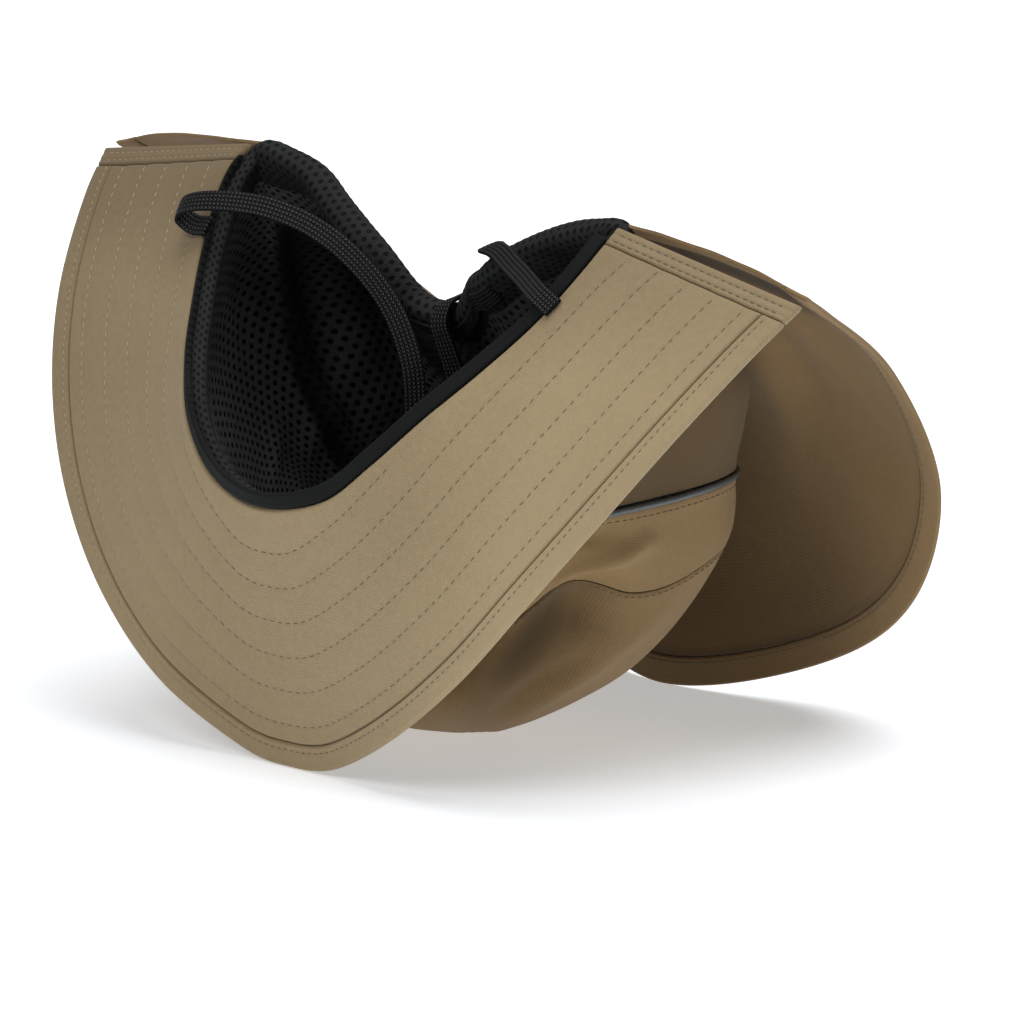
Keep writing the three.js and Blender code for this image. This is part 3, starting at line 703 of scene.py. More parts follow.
def rim_steps(count, roll):
    """Steps from 0 to 1 with more of them near both ends, where a rim of that share rolls over."""
    near = roll * np.array([0, 0.08, 0.3, 0.62, 1])
    middle = np.linspace(roll, 1 - roll, count + 1)[1:-1]
    return np.concatenate([near, middle, 1 - near[::-1]])


def rolled(share, roll):
    """Half thickness by place across a strip: nothing at its rims, all of it further in than roll."""
    edge = np.clip(np.minimum(share, 1 - share) / roll, 0, 1)
    return np.sqrt(np.clip(1 - (1 - edge) ** 2, 0, 1))


def finish_piece(piece, finish, slot, *nodes):
    """Gives a piece its finish, and hides the CAD nodes that it takes the place of. Its slot is not used."""
    piece.data.materials.append(finish_named(finish))
    if nodes:
        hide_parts(*nodes)
    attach(piece, "root")
    return piece


def sewn_line(line, normals, pitch, length, width, proud, start=0.3):
    """Stitches along a line of points: the middle of each, and half its length, width and height."""
    travelled = travelled_along(line)
    count = int((travelled[-1] - start * pitch) // pitch)
    places = (np.arange(count) + start) * pitch + length / 2
    places = places[places < travelled[-1] - length / 2]

    def along(values, where):
        return np.stack([np.interp(where, travelled, values[:, axis]) for axis in range(3)], axis=1)

    middle = along(line, places)
    ahead = unit(along(line, places + 0.4) - along(line, places - 0.4))
    up = unit(along(normals, places))
    side = unit(np.cross(up, ahead))
    top = np.cross(ahead, side)
    return [(middle + up * proud, ahead * length / 2, side * width / 2, top * width / 2)]


def stitches(name, runs, slot):
    """Copies of one short thread, modelled from a sphere, at each place in the runs."""
    deselect()
    bpy.ops.mesh.primitive_uv_sphere_add(segments=6, ring_count=4, radius=1, rotation=(0, math.pi / 2, 0))
    thread = bpy.context.object
    bpy.ops.object.transform_apply(location=False, rotation=True, scale=False)
    shape = np.array([vertex.co for vertex in thread.data.vertices])
    faces = [list(polygon.vertices) for polygon in thread.data.polygons]
    bpy.data.objects.remove(thread)
    points, all_faces = [], []
    for run in runs:
        for middle, ahead, side, up in zip(*run):
            first = len(points) * len(shape)
            points.append(middle + shape[:, :1] * ahead + shape[:, 1:2] * side + shape[:, 2:] * up)
            all_faces += [[corner + first for corner in face] for face in faces]
    uv = np.tile(shape[:, :2], (len(points), 1))
    piece = smooth_piece(name, np.concatenate(points), all_faces, uv)
    return finish_piece(piece, "sewing_thread", slot)


def surface_run(surface, u, v, relief, probe=0.002, **thread):
    """Stitches along a surface at u and v, lifted with its relief."""
    line, normals = placed(surface, u, v, probe)
    return sewn_line(line + normals * relief[..., None], normals, **thread)


def above_floor(points):
    """The points, with those below the floor raised onto it."""
    points[..., 2] = np.maximum(points[..., 2], 0)
    return points


def sheet_uv(points):
    """Flat places for a grid of points: distance across and distance down, in millimetres."""
    across = np.linalg.norm(np.diff(points, axis=0), axis=-1).mean(axis=1)
    down = np.linalg.norm(np.diff(points, axis=1), axis=-1).mean(axis=0)
    u = np.concatenate([[0], np.cumsum(across)])
    v = np.concatenate([[0], np.cumsum(down)])
    return np.stack(np.meshgrid(u - u.mean(), v, indexing="ij"), axis=-1)


def fan_uv(u, reach):
    """Flat places on the brim's cut, a part of a ring."""
    turn = (OUTER_LENGTH - INNER_LENGTH) / 2 / BRIM_DEPTH
    radius = INNER_LENGTH / 2 / turn + BRIM_DEPTH * reach
    return np.stack(np.broadcast_arrays(radius * np.sin(u * turn), radius * np.cos(u * turn)), axis=-1)


def size_property(name, description, usual, least, most):
    """A length, given here in millimetres and kept in metres."""
    return bpy.props.FloatProperty(
        name=name, description=description, default=usual * MM, min=least * MM, max=most * MM, precision=4,
        unit="LENGTH")


class HatSizes(bpy.types.PropertyGroup):
    """Sizes that a maker may change."""

    brim_thickness: size_property("Brim thickness", "Cloth and stiffener of the brim", 3, 1.5, 4)
    cloth_thickness: size_property("Cloth thickness", "Soft cloth of the crown and the cape", 1.5, 0.8, 2)
    brim_hem: size_property("Brim hem", "Width of the hem round the brim", 10, 6, 14)
    cape_hem: size_property("Cape hem", "Width of the hem round the cape", 11, 6, 14)
    end_band: size_property("End band", "Width of the band at each end of the brim", 9, 5, 14)
    first_row: size_property("First row", "From the brim's hem to its first row of stitches", 7, 3, 16)
    row_spacing: size_property("Row spacing", "From one row of the brim's stitches to the next", 13.3, 6, 20)
    stitch_pitch: size_property("Stitch pitch", "From one stitch of the brim's rows to the next", 4, 2, 6)
    strap_width: size_property("Strap width", "Width of the flat chin strap", 8, 4, 12)
    stitch_rows: bpy.props.IntProperty(
        name="Stitch rows", description="Rows of stitches round the brim", default=6, min=1, max=8)


def color_property(name, description, color):
    """A colour, given here as it shows on a screen, 0 to 255."""
    return bpy.props.FloatVectorProperty(
        name=name, description=description, default=linear(color)[:3], min=0.0, max=1.0, size=3,
        subtype="COLOR")


class HatColors(bpy.types.PropertyGroup):
    """Colours that a maker may change."""

    brim: color_property("Brim", "The cloth of the brim", (149, 131, 100))
    # The crown's and cape's colours are the brim's cloth darker and warmer: painted shade, deepest on the
    # cape.
    crown: color_property("Crown", "The softer cloth of the crown", (138, 113, 77))
    cape: color_property("Cape", "The soft cloth of the neck cape", (117, 94, 62))
    thread: color_property("Thread", "The sewing thread", (172, 153, 122))


def size(name):
    """A size from the panel, in millimetres."""
    return getattr(bpy.context.scene.hat_sizes, name) / MM


def seam_rows():
    """How far each row of the brim's stitches lies inside the hem, in millimetres."""
    rows = bpy.context.scene.hat_sizes.stitch_rows
    return [size("first_row") + row * size("row_spacing") for row in range(rows)]


def shown(name):
    """A colour from the panel as it shows on a screen, 0 to 255."""
    light = np.array(getattr(bpy.context.scene.hat_colors, name))
    return 255 * np.where(light <= 0.0031308, light * 12.92, 1.055 * light ** (1 / 2.4) - 0.055)


FINISH_MAKERS = {
    # The brim's cloth takes painted light towards its right and painted shade towards its top.
    "stiff_cloth": lambda name: woven_cloth(name, shown("brim"), painted_side_light=True),
    # Painted shade: the crown and the cape take darker copies of the brim's cloth.
    "soft_cloth": lambda name: woven_cloth(name, shown("crown")),
    "cape_nylon": lambda name: woven_cloth(name, shown("cape")),
    "sewing_thread": thread_finish,
    # The lining's mesh is lighter than the binding's same mesh: painted light in the crown's shaded inside.
    "holed_lining": holed_mesh,
    "binding_mesh": lambda name: holed_mesh(name, 42),
    "soft_knit": lambda name: holed_mesh(name, 22, plain_from=-0.06),
    "elastic_rib": elastic_finish,
    "flat_braid": braid_finish,
    "piping_tape": piping_finish,
    "studio_floor": floor_finish,
}
FINISHES = {}


def finish_named(name):
    """The finish of that name, made once. The frame's plain materials are left alone."""
    if name not in FINISHES:
        FINISHES[name] = FINISH_MAKERS[name](name)
    return FINISHES[name]


def brim_relief(u, reach):
    """How far the brim's face stands proud: a groove along each row of stitches, soft pads between."""
    from_hem = (1 - reach) * brim_width(np.clip(u, -1, 1)) - size("brim_hem")
    groove = 0
    for row in seam_rows():
        groove = groove + bell(from_hem - row, 0.7)
    pads = 0.14 * np.cos(2 * math.pi * (from_hem - size("first_row")) / size("row_spacing"))
    return -0.16 * groove - pads * ramp(from_hem, 0, 4) + 0.25 * bell(from_hem - 1.2, 1.4)


def brim_part(name, u, reach, shares, rolls, relief, proud, crease):
    """A piece of the brim whose rims roll over, between its visible face and the face behind.

    shares holds how far each point lies across and down the piece, rolls the shares that its rims take.
    """
    face, normals = placed(brim_surface, u, reach)
    half = size("brim_thickness") / 2 + proud
    swell = rolled(shares[0], rolls[0]) * rolled(shares[1], rolls[1])
    middle = face - normals * (size("brim_thickness") / 2)
    front = middle + normals * (half * swell + relief * swell)[..., None]
    back = middle - normals * (half * swell)[..., None]
    return cloth_wall(name, front, back, fan_uv(u, reach), crease)


class HAT_OT_stage(bpy.types.Operator):
    """Set the floor, the soft lights and the camera"""

    bl_idname = "hat.stage"
    bl_label = "Stage"

    def execute(self, context):
        scene = context.scene
        scene.view_settings.view_transform = "Standard"
        deselect()
        bpy.ops.mesh.primitive_grid_add(
            x_subdivisions=4, y_subdivisions=4, size=FLOOR_SIZE, location=(0, 0, 0))
        floor = context.object
        floor.name = "studio_floor"
        floor.data.materials.append(finish_named("studio_floor"))
        world = bpy.data.worlds.new("soft_sky")
        world.use_nodes = True
        sky = world.node_tree.nodes["Background"].inputs
        sky["Color"].default_value = (1.0, 1.0, 1.0, 1.0)
        sky["Strength"].default_value = SKY_STRENGTH
        scene.world = world
        for name, toward, strength, spread in LIGHTS:
            light = bpy.data.lights.new(name, "SUN")
            light.energy = strength
            light.angle = math.radians(spread)
            lamp = bpy.data.objects.new(name, light)
            lamp.location = toward
            lean = math.acos(unit(np.array(toward))[2])
            lamp.rotation_euler = (lean, 0, math.atan2(toward[1], toward[0]) + math.pi / 2)
            context.collection.objects.link(lamp)
        azimuth, elevation = math.radians(CAMERA_AZIMUTH), math.radians(CAMERA_ELEVATION)
        lens = bpy.data.cameras.new("photo_camera")
        lens.sensor_width = CAMERA_SENSOR
        lens.lens = CAMERA_LENS
        camera = bpy.data.objects.new("photo_camera", lens)
        back = (
            math.sin(azimuth) * math.cos(elevation),
            -math.cos(azimuth) * math.cos(elevation),
            math.sin(elevation),
        )
        camera.location = [place + way * CAMERA_DISTANCE for place, way in zip(CAMERA_TARGET, back)]
        camera.rotation_euler = (math.pi / 2 - elevation, 0, azimuth)
        context.collection.objects.link(camera)
        scene.camera = camera
        return {"FINISHED"}


class HAT_OT_chin_strap(bpy.types.Operator):
    """Braid the flat chin strap along its whole loop"""

    bl_idname = "hat.chin_strap"
    bl_label = "Chin strap"

    def execute(self, context):
        strap_line, length = even_line(np.array(STRAP_ROUTE) / MM)
        share = np.linspace(0, 1, 561)
        line = strap_line(share)
        along = unit(np.gradient(line, axis=0))
        path = (line[::5] - (0, FOOT_TO_MIDDLE, 0)) * MM
        # Millimetres that each end runs on into its seam.
        tucked_in = np.array([[2.6], [1.3]])
        line = np.concatenate([line[0] - along[0] * tucked_in, line, line[-1] + along[-1] * tucked_in[::-1]])
        along = unit(np.gradient(line, axis=0))
        share = np.concatenate([[0, 0], share, [1, 1]])
        lay = np.array(STRAP_WIDTHWAYS)
        across = np.stack([np.interp(share, lay[:, 0], lay[:, axis]) for axis in (1, 2, 3)], axis=1)
        across = unit(across - along * (across * along).sum(axis=1, keepdims=True))
        thick = np.cross(along, across)
        turn = np.linspace(0, 2 * math.pi, 16 * STRAP_RIBS + 1)
        wide = np.sign(np.cos(turn)) * np.abs(np.cos(turn)) ** 0.9
        deep = np.sign(np.sin(turn)) * np.abs(np.sin(turn)) ** 0.35
        half_between_ribs, rib_height = 0.82, 0.108
        rib = rib_height * np.abs(np.cos(wide * STRAP_RIBS * math.pi / 2))
        points = (
            line[:, None]
            + across[:, None] * (wide * size("strap_width") / 2)[None, :, None]
            + thick[:, None] * (deep * (half_between_ribs + rib))[None, :, None]
        )
        width_share = (wide + 1) / 2 / MM
        uv = np.stack(np.broadcast_arrays(travelled_along(line)[:, None], width_share[None]), axis=-1)
        columns, rows = points.shape[:2]
        ends = (range(rows - 1), range(columns * rows - 2, (columns - 1) * rows - 1, -1))
        faces = grid_faces(columns, rows).tolist() + [list(end) for end in ends]
        strap = smooth_piece("chin_strap_braid", points.reshape(-1, 3), faces, uv.reshape(-1, 2))
        finish_piece(merge_doubles(strap, turn_out=True), "flat_braid", "strap_braid", "chin_strap")
        round(size("strap_width") * MM, 6)
        return {"FINISHED"}


class HAT_OT_front_brim(bpy.types.Operator):
    """Sew the stiff front brim with its rows of stitches"""

    bl_idname = "hat.front_brim"
    bl_label = "Front brim"

    def execute(self, context):
        hem, band = size("brim_hem"), size("end_band")
        edge_roll = 1.2 / 90
        shares = np.meshgrid(rim_steps(320, 0.0035), rim_steps(80, edge_roll), indexing="ij")
        raw = shares[0] * 2 - 1
        reach = shares[1] * (1 - hem / brim_width(raw))
        u = raw * end_band_start(reach, band)
        from_hem = (1 - reach) * brim_width(u) - hem
        # Painted shade along the hem's inner edge and along each row of stitches.
        crease = 0.3 * bell(from_hem, 0.7)
        for row in seam_rows():
            crease = crease + 0.1 * bell(from_hem - row, 0.6)
        brim = brim_part(
            "front_brim_cloth", u, reach, shares, (0.0025, edge_roll), brim_relief(u, reach), 0, crease)
        finish_piece(brim, "stiff_cloth", "brim_cloth", "front_brim")

        runs = []
        for number, row in enumerate(seam_rows()):
            u = np.linspace(-1, 1, 900)
            from_edge = hem + row
            u = u * end_band_start(1 - from_edge / brim_width(u), band)
            reach = 1 - from_edge / brim_width(u)
            u, reach = u[reach > 0.055], reach[reach > 0.055]
            runs += surface_run(
                brim_surface, u, reach, brim_relief(u, reach), pitch=size("stitch_pitch"), length=2.4,
                width=0.42, proud=0.04, start=0.3 + 0.13 * number)
        stitches("front_brim_stitches", runs, "brim_cloth")
        return {"FINISHED"}


class HAT_OT_brim_hem(bpy.types.Operator):
    """Turn and stitch the hem round the brim"""

    bl_idname = "hat.brim_hem"
    bl_label = "Brim hem"

    def execute(self, context):
        hem, band = size("brim_hem"), size("end_band")
        shares = np.meshgrid(rim_steps(460, 0.003), rim_steps(14, 0.14), indexing="ij")
        raw = shares[0] * 2 - 1
        innermost = 1 - hem / brim_width(raw)
        reach = innermost + (1 - innermost) * shares[1]
        u = raw * end_band_start(reach, band)
        inside = shares[1] * hem
        relief = -0.22 * bell(inside - BRIM_HEM_SEAM, 0.8) + 0.12 * bell(inside - 1.0, 0.9)
        # Painted shade at the hem's inner edge and along its seam.
        crease = 0.3 * bell(inside, 0.6) + 0.1 * bell(inside - BRIM_HEM_SEAM, 0.6)
        piece = brim_part("brim_hem_cloth", u, reach, shares, (0.002, 0.14), relief, 0.3, crease)
        finish_piece(piece, "stiff_cloth", "brim_cloth", "brim_edge_binding")
        u = np.linspace(-1, 1, 1200)
        from_edge = hem - BRIM_HEM_SEAM
        u = u * end_band_start(1 - from_edge / brim_width(u), band)
        reach = 1 - from_edge / brim_width(u)
        runs = surface_run(
            brim_surface, u, reach, np.full(u.shape, 0.08), pitch=3.2, length=1.7, width=0.42, proud=0.05)
        stitches("brim_hem_stitches", runs, "brim_cloth")
        return {"FINISHED"}


class HAT_OT_end_bands(bpy.types.Operator):
    """Sew the band at each end of the brim"""

    bl_idname = "hat.end_bands"
    bl_label = "End bands"

    def execute(self, context):
        band = size("end_band")
        runs = []
        for side, word in ((-1, "left"), (1, "right")):
            across, down = np.meshgrid(rim_steps(16, 0.16), rim_steps(90, 0.016), indexing="ij")
            if side < 0:
                across = 1 - across[::-1]
            part = across if side > 0 else 1 - across
            start = end_band_start(down, band)
            u = side * (start + (1 - start) * part)
            inside = part * band
            relief = -sum(deep * bell(inside - seam, 0.7) for seam, deep in zip(END_BAND_SEAMS, (0.28, 0.22)))
            # Painted shade along the band's seams and at its inner edge.
            crease = 0.25 * sum(bell(inside - seam, 0.6) for seam in END_BAND_SEAMS) + 0.4 * bell(inside, 0.7)
            piece = brim_part(
                f"brim_end_band_{word}_cloth", u, down, (across, down), (0.16, 0.016), relief, 0.3, crease)
            finish_piece(piece, "stiff_cloth", "brim_cloth", f"brim_end_band_{word}")
            reach = np.linspace(0.015, 0.985, 300)
            for seam in END_BAND_SEAMS:
                u = side * end_band_start(reach, band - seam)
                runs += surface_run(
                    brim_surface, u, reach, np.full(reach.shape, 0.08), pitch=3.4, length=2.2, width=0.42,
                    proud=0.05, start=0.2 + seam / 10)
        stitches("end_band_stitches", runs, "brim_cloth")
        return {"FINISHED"}


def crown_level(column, level, shift):
    """The level that lies shift millimetres further down the crown than level."""
    column, level, shift = np.broadcast_arrays(column, level, shift)
    probe = 0.03
    high, low = np.clip(level - probe, 0, LAST_LEVEL), np.clip(level + probe, 0, LAST_LEVEL)
    speed = np.linalg.norm(crown_surface(column, low) - crown_surface(column, high), axis=-1) / (low - high)
    return level + shift / np.maximum(speed, 5)


def crown_strip(first, first_shift, last, last_shift, count, roll):
    """Columns and levels of a loop of the crown, with more rows near its rims."""
    column = np.linspace(0, 2 * HALF_COLUMNS, 361)
    top = crown_level(column, np.full(column.shape, float(first)), first_shift)
    low = crown_level(column, np.full(column.shape, float(last)), last_shift)
    share = rim_steps(count, roll)
    share_grid = np.broadcast_to(share, (len(column), len(share)))
    level = top[:, None] + (low - top)[:, None] * share_grid
    return np.broadcast_to(column[:, None], level.shape), level, share_grid


def down_to_middle(strip):
    """The strip with its last row at the crown's middle, where it needs no rim."""
    column, level, share = strip
    level = np.minimum(level, LAST_LEVEL)
    level[:, -1] = LAST_LEVEL
    return column, level, share * 0.5


def creased(u, v, pace, creases):
    """Heights of straight creases on a cloth measured by u and v, which pace turns into millimetres."""
    total = 0
    for start, end, wide, high in creases:
        from_start = (np.stack([u, v], axis=-1) - start) * pace
        way = (np.array(end) - start) * pace
        along = np.clip(from_start @ way / (way @ way), 0, 1)
        off = np.linalg.norm(from_start - along[..., None] * way, axis=-1)
        total = total + high * bell(off, wide) * (0.45 + 0.55 * np.sin(math.pi * along))
    return total


def crown_relief(column, level):
    """Soft wrinkles of the crown's cloth, in millimetres."""
    around, down = column * CROWN_PACE[0], level * CROWN_PACE[1]
    relief = ripples(around, down, 7, 14) * 0.5 + ripples(around, down * 2.2, 11, 6) * 0.16
    return (relief + creased(column, level, CROWN_PACE, CROWN_CREASES)) * ramp(level, 0.02, 0.25)


def crown_patch(column, level, middle, wide):
    """1 in the middle of a round patch of the crown, fading out over about wide millimetres."""
    around, down = (column - middle[0]) * CROWN_PACE[0], (level - middle[1]) * CROWN_PACE[1]
    return bell(np.hypot(around, down), wide)


def fold_shadow(column, level):
    """Darkness behind the fold of the lining's left wall: sharp at the fold and fading towards the rear."""
    fold_columns, fold_levels = zip(*LINING_FOLD)
    beyond = (np.interp(level, fold_levels, fold_columns) - column) * CROWN_PACE[0]
    shadow = ramp(beyond, -1.5, 1.0) * (1 - 0.6 * ramp(beyond, 3, 16)) * (1 - ramp(beyond, 16, 60))
    return shadow * ramp(level, 0.3, 0.6) * (1 - ramp(level, 2.3, 2.8))


def crown_piece(name, strip, thickness, roll, crease, inset=0.0):
    """A piece of the crown whose rims roll over, inset by so much below the crown's outer face."""
    column, level, share = strip
    points = crown_surface(column, level)
    normals = grid_normals(np.concatenate([points[-2:-1], points, points[1:2]]))[1:-1]
    relief = crown_relief(column, level)
    swell = rolled(share, roll)
    middle = points - normals * (inset + thickness / 2)
    front = above_floor(middle + normals * (swell * (thickness / 2 + relief))[..., None])
    back = above_floor(middle - normals * (swell * (thickness / 2 - relief))[..., None])
    front[-1], back[-1] = front[0], back[0]
    return cloth_wall(name, front, back, sheet_uv(points), crease)


class HAT_OT_crown(bpy.types.Operator):
    """Sew the crown's side band, upper band and top"""

    bl_idname = "hat.crown"
    bl_label = "Crown"

    def execute(self, context):
        cloth = size("cloth_thickness")
        strip = crown_strip(0, 0, PIPING_LEVEL, -1.6, 70, 0.012)
        # Painted shade over the whole side band, partly towards near black, for the shade under the brim.
        side = crown_piece("crown_side_cloth", strip, cloth, 0.008, np.full(strip[0].shape, 1.3))
        finish_piece(side, "soft_cloth", "crown_cloth", "crown_side_band")

        strip = crown_strip(PIPING_LEVEL, 1.6, TOP_SEAM_LEVEL, -0.2, 34, 0.03)
        share = strip[2]
        # Painted shade along its rims at the seams, and painted light over the whole band.
        crease = 0.6 * bell(share, 0.05) + 0.15 * bell(1 - share, 0.03) - 0.35
        upper = crown_piece("crown_upper_cloth", strip, cloth, 0.025, crease)
        finish_piece(upper, "soft_cloth", "crown_cloth", "crown_upper_band")

        strip = down_to_middle(crown_strip(TOP_SEAM_LEVEL, 0.2, LAST_LEVEL, 0, 64, 0.012))
        column, level, share = strip
        # Painted shadow where the brim shades the top, painted light beside it, painted shade at its rim.
        shadow = crown_patch(column, level, (11.6, 3.45), 38)
        light = crown_patch(column, level, (17.6, 3.65), 50)
        crease = 0.2 * bell(share, 0.006) + 1.6 * shadow - 0.5 * light
        top = crown_piece("crown_top_cloth", strip, cloth, 0.006, crease)
        finish_piece(top, "soft_cloth", "crown_cloth", "crown_top")

        column = np.linspace(0, 2 * HALF_COLUMNS, 1600)
        runs = []
        for level, shift in CROWN_SEAMS:
            line = crown_level(column, np.full(column.shape, float(level)), shift)
            runs += surface_run(
                crown_surface, column, line, crown_relief(column, line), CROWN_PROBE, pitch=3.2, length=2.2,
                width=0.45, proud=0.08)
        stitches("crown_stitches", runs, "crown_cloth")
        return {"FINISHED"}


def tube(name, line, outward, radius, sides=14):
    """A closed loop of cord along a line, with its first side facing outward."""
    along = unit(np.gradient(np.concatenate([line[-2:-1], line, line[1:2]]), axis=0)[1:-1])
    outward = unit(outward - along * (outward * along).sum(axis=1, keepdims=True))
    side = np.cross(along, outward)
    turn = np.linspace(0, 2 * math.pi, sides + 1)
    points = (
        line[:, None]
        + outward[:, None] * (radius * np.cos(turn))[None, :, None]
        + side[:, None] * (radius * np.sin(turn))[None, :, None]
    )
    points[-1] = points[0]
    uv = np.stack(np.broadcast_arrays(travelled_along(line)[:, None], (turn * radius)[None]), axis=-1)
    faces = grid_faces(*points.shape[:2]).tolist()
    return merge_doubles(smooth_piece(name, points.reshape(-1, 3), faces, uv.reshape(-1, 2)), turn_out=True)


class HAT_OT_piping(bpy.types.Operator):
    """Lay the reflective piping round the crown"""

    bl_idname = "hat.piping"
    bl_label = "Reflective piping"

    def execute(self, context):
        column = np.linspace(0, 2 * HALF_COLUMNS, 561)
        level = np.full(column.shape, float(PIPING_LEVEL))
        line, normals = placed(crown_surface, column, level, CROWN_PROBE)
        line = line + normals * 0.5
        line[-1], normals[-1] = line[0], normals[0]
        piping = tube("piping_cord", line, normals, PIPING_RADIUS)
        finish_piece(piping, "piping_tape", "piping", "reflective_piping")
        return {"FINISHED"}


class HAT_OT_lining(bpy.types.Operator):
    """Line the crown with black spacer mesh"""

    bl_idname = "hat.lining"
    bl_label = "Mesh lining"

    def execute(self, context):
        strip = down_to_middle(crown_strip(0, 0.2, LAST_LEVEL, 0, 70, 0.006))
        shadow = fold_shadow(strip[0], strip[1])
        inset = size("cloth_thickness") + LAYER_GAP
        piece = crown_piece("lining_mesh", strip, LINING_THICKNESS, 0.004, shadow, inset)
        finish_piece(piece, "holed_lining", "spacer_mesh", "mesh_lining")
        return {"FINISHED"}


class HAT_OT_rim_binding(bpy.types.Operator):
    """Wrap the opening's rim in mesh, over the cape's root behind and under the sweatband in front"""

    bl_idname = "hat.rim_binding"
    bl_label = "Rim binding"

    def execute(self, context):
        column = np.linspace(0, 2 * HALF_COLUMNS, 841)
        start = np.zeros(column.shape)
        rim = crown_surface(column, start)
        across = crown_surface(column + 0.3, start + 0.03) - crown_surface(column - 0.3, start + 0.03)
        down = unit(crown_surface(column, start + 0.08) - rim)
        outward = unit(np.cross(down, across))
        side_column = np.minimum(column, 2 * HALF_COLUMNS - column)
        rear = ramp(side_column, FRONT_COLUMNS - 0.6, FRONT_COLUMNS + 0.8)[:, None, None]
        share = rim_steps(18, 0.06)
        section = smooth_line(REAR_BINDING, share) * rear + smooth_line(FRONT_BINDING, share) * (1 - rear)
        middle = rim[:, None] + outward[:, None] * section[..., :1] - down[:, None] * section[..., 1:]
        normals = grid_normals(np.concatenate([middle[-2:-1], middle, middle[1:2]]))[1:-1]
        turns = 2 * math.pi * travelled_along(rim) / MESH_HOLE_PITCH
        scallop = 0.08 * rear * np.cos(turns)[:, None, None]
        swell = 0.5 * rolled(np.broadcast_to(share, middle.shape[:2]), 0.06)[..., None]
        front = middle + normals * (swell + scallop)
        back = middle - normals * (swell - scallop)
        front[-1], back[-1] = front[0], back[0]
        binding = cloth_wall("rim_binding_mesh", front, back, sheet_uv(middle))
        finish_piece(binding, "binding_mesh", "spacer_mesh")
        return {"FINISHED"}


class HAT_OT_sweatband(bpy.types.Operator):
    """Sew the smooth sweatband inside the brim's opening"""

    bl_idname = "hat.sweatband"
    bl_label = "Sweatband"

    def execute(self, context):
        across, down = np.meshgrid(rim_steps(300, 0.004), rim_steps(12, 0.2), indexing="ij")
        place = (across * 2 - 1) * 0.965
        share = (1 + place) / 2
        point = inner_edge(share)
        along = inner_edge(np.minimum(share + 0.0005, 1)) - inner_edge(share - 0.0005)
        outward = unit(outer_edge(share) - point)
        behind = unit(np.cross(along, outward))
        height = 0.6 + (1.4 + 4.6 * ramp(place, -0.55, -0.15)) * down
        half = (rolled(across, 0.004) * rolled(down, 0.2) * SWEATBAND_THICKNESS / 2)[..., None]
        middle = point - outward * height[..., None] + behind * (SWEATBAND_THICKNESS / 2)
        uv = np.stack(np.broadcast_arrays(share * INNER_LENGTH, height), axis=-1)
        piece = cloth_wall("sweatband_knit_band", middle - behind * half, middle + behind * half, uv)
        finish_piece(piece, "soft_knit", "sweatband_knit", "sweatband")
        return {"FINISHED"}


class HAT_OT_elastic(bpy.types.Operator):
    """Gather the rear edge on its ribbed elastic"""

    bl_idname = "hat.elastic"
    bl_label = "Rear elastic"

    def execute(self, context):
        reach = 4
        around = np.linspace(HALF_COLUMNS - reach, HALF_COLUMNS + reach, 257)
        column, share = np.meshgrid(around, rim_steps(10, 0.15), indexing="ij")
        points = crown_surface(column, 0.015 + 0.085 * share)
        normals = grid_normals(points)
        ribs = 0.35 * np.cos((column - HALF_COLUMNS) * 2 * math.pi) * bell(share - 0.5, 0.5)
        swell = rolled(share, 0.15) * rolled((column - around[0]) / (2 * reach), 0.01)
        half = ELASTIC_THICKNESS / 2
        below_crown = size("cloth_thickness") + LAYER_GAP + LINING_THICKNESS + LAYER_GAP
        middle = points - normals * (below_crown + half)
        inner = middle - normals * ((half + ribs) * swell)[..., None]
        outer = middle + normals * (half * swell)[..., None]
        piece = cloth_wall("rear_elastic_band", outer, inner, sheet_uv(points))
        finish_piece(piece, "elastic_rib", "elastic", "rear_elastic")
        return {"FINISHED"}


def cape_hem_start(turn, hem):
    """The drop at which a hem of that width starts."""
    probe = 0.02
    low = cape_surface(turn, np.ones(turn.shape))
    speed = np.linalg.norm(low - cape_surface(turn, 1 - probe), axis=-1) / probe
    return 1 - hem / speed


def cape_relief(turn, drop):
    """Soft folds and wrinkles of the cape, in millimetres."""
    around, down = turn * CAPE_PACE[0], drop * CAPE_PACE[1]
    broad = ripples(around, down, 3, 34) * 0.9
    fine = ripples(around * 1.4, down, 5, 9) * 0.22
    folds = creased(turn, drop, CAPE_PACE, CAPE_CREASES)
    return (broad + fine + folds) * ramp(drop, 0.03, 0.2) * ramp(1 - drop, 0.0, 0.15)


def cape_shade(turn, drop):
    """Painted shade, or below 0 painted light, on the cape's inner face by turn and drop."""
    from_front = (1 - np.abs(turn)) * 190
    painted_front_hem_light = 1 - ramp(from_front, 20, 23)
    behind_hem = ramp(from_front, 21, 25) * (1 - ramp(from_front, 36, 50))
    deep_painted_shadow = behind_hem * ramp(drop, 0.1, 0.2) * (1 - ramp(drop, 0.6, 0.72))
    painted_low_shade = ramp(drop, 0.72, 0.95) * (1 - ramp(np.abs(turn), 0.15, 0.45))
    # Painted shadow behind the end band and at the low middle, painted light on the front hem and to the
    # right.
    return 1.9 * deep_painted_shadow + 0.9 * painted_low_shade - 0.8 * painted_front_hem_light - 0.35 * ramp(turn, 0.2, 0.5)


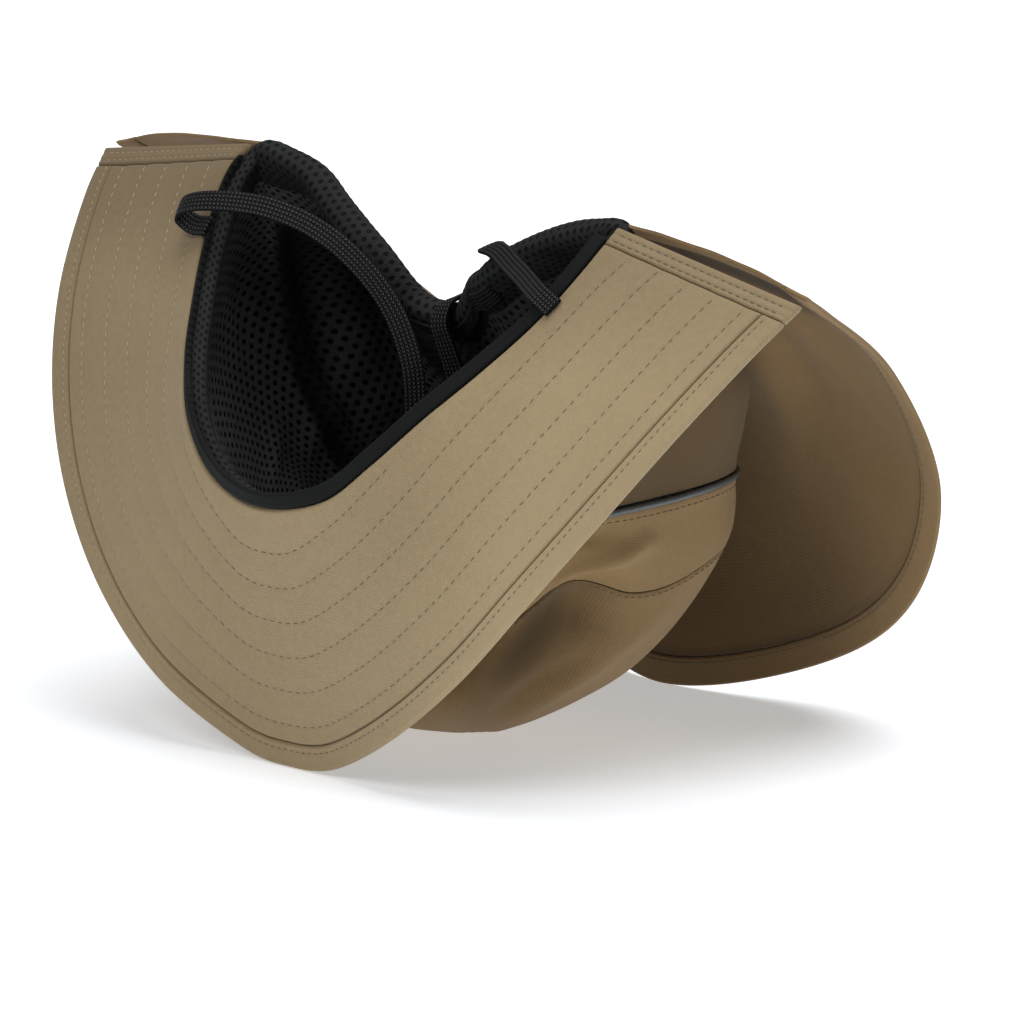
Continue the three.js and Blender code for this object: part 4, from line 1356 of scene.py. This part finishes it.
def cape_part(name, turn, drop, shares, rolls, proud, crease, shade):
    """A piece of the cape whose rims roll over, with its painted shade on the inner face alone."""
    face, normals = placed(cape_surface, turn, drop)
    half = size("cloth_thickness") / 2
    swell = (half + proud) * rolled(shares[0], rolls[0]) * rolled(shares[1], rolls[1])
    middle = face + normals * (half + cape_relief(turn, drop))[..., None]
    inner = above_floor(middle + normals * swell[..., None])
    outer = above_floor(middle - normals * swell[..., None])
    uv = np.stack(np.broadcast_arrays(turn * CAPE_PACE[0], drop * CAPE_PACE[1]), axis=-1)
    return cloth_wall(name, inner, outer, uv, crease + shade, crease)


class HAT_OT_cape(bpy.types.Operator):
    """Hang the neck cape with its hem"""

    bl_idname = "hat.cape"
    bl_label = "Neck cape"

    def execute(self, context):
        hem = size("cape_hem")
        shares = np.meshgrid(rim_steps(250, 0.002), rim_steps(90, 0.006), indexing="ij")
        turn = shares[0] * 2 - 1
        drop = shares[1] * cape_hem_start(turn, hem)
        # Painted shade along the cape's edge where its hem starts.
        crease = 0.5 * bell(1 - shares[1], 0.008)
        cape = cape_part(
            "neck_cape_cloth", turn, drop, shares, (0.002, 0.004), 0, crease, cape_shade(turn, drop))
        finish_piece(cape, "cape_nylon", "cape_cloth", "neck_cape")

        shares = np.meshgrid(rim_steps(360, 0.002), rim_steps(16, 0.1), indexing="ij")
        turn = shares[0] * 2 - 1
        start = cape_hem_start(turn, hem)
        drop = start + (1 - start) * shares[1]
        inside = shares[1] * hem
        # Painted shade at the hem's edge and along its seam, and more near the middle of the cape.
        crease = 0.5 * bell(inside, 0.8) + 0.3 * bell(inside - CAPE_HEM_SEAM, 0.6)
        shade = 0.9 * (1 - ramp(np.abs(turn), 0.1, 0.4))
        turned_hem = cape_part("cape_hem_cloth", turn, drop, shares, (0.002, 0.1), 0.3, crease, shade)
        # The hem takes the crown's lighter colour: less painted shade where it catches the light.
        finish_piece(turned_hem, "soft_cloth", "cape_cloth", "cape_hem")

        turn = np.linspace(-0.995, 0.995, 1400)
        drop = cape_hem_start(turn, hem - CAPE_HEM_SEAM)
        line, normals = placed(cape_surface, turn, drop)
        relief = cape_relief(turn, drop)
        proud = 0.32
        runs = []
        for lift, facing in ((size("cloth_thickness") + proud, 1), (-proud, -1)):
            lifted = line + normals * (relief + lift)[..., None]
            runs += sewn_line(lifted, normals * facing, pitch=3.4, length=2.3, width=0.45, proud=0.05)
        thread = stitches("cape_hem_stitches", runs, "cape_cloth")
        return {"FINISHED"}


class HAT_PT_panel(bpy.types.Panel):
    """Lists the hat's pieces in the sidebar"""

    bl_idname = "HAT_PT_panel"
    bl_label = "Sun hat"
    bl_space_type = "VIEW_3D"
    bl_region_type = "UI"
    bl_category = "Sun hat"

    def draw(self, context):
        for group in (context.scene.hat_sizes, context.scene.hat_colors):
            for name in group.__annotations__:
                self.layout.prop(group, name)
        for step in STEPS:
            self.layout.operator(step.bl_idname)


STEPS = (
    HAT_OT_stage,
    HAT_OT_chin_strap,
    HAT_OT_front_brim,
    HAT_OT_brim_hem,
    HAT_OT_end_bands,
    HAT_OT_crown,
    HAT_OT_piping,
    HAT_OT_lining,
    HAT_OT_rim_binding,
    HAT_OT_sweatband,
    HAT_OT_elastic,
    HAT_OT_cape,
)
CLASSES = (HatSizes, HatColors, *STEPS, HAT_PT_panel)


def register():
    for cls in CLASSES:
        bpy.utils.register_class(cls)
    bpy.types.Scene.hat_sizes = bpy.props.PointerProperty(type=HatSizes)
    bpy.types.Scene.hat_colors = bpy.props.PointerProperty(type=HatColors)


def unregister():
    del bpy.types.Scene.hat_colors
    del bpy.types.Scene.hat_sizes
    for cls in reversed(CLASSES):
        bpy.utils.unregister_class(cls)


def main():
    register()
    bpy.ops.hat.stage()
    bpy.ops.hat.chin_strap()
    bpy.ops.hat.front_brim()
    bpy.ops.hat.brim_hem()
    bpy.ops.hat.end_bands()
    bpy.ops.hat.crown()
    bpy.ops.hat.piping()
    bpy.ops.hat.lining()
    bpy.ops.hat.rim_binding()
    bpy.ops.hat.sweatband()
    bpy.ops.hat.elastic()
    bpy.ops.hat.cape()


if __name__ == "__main__":
    main()
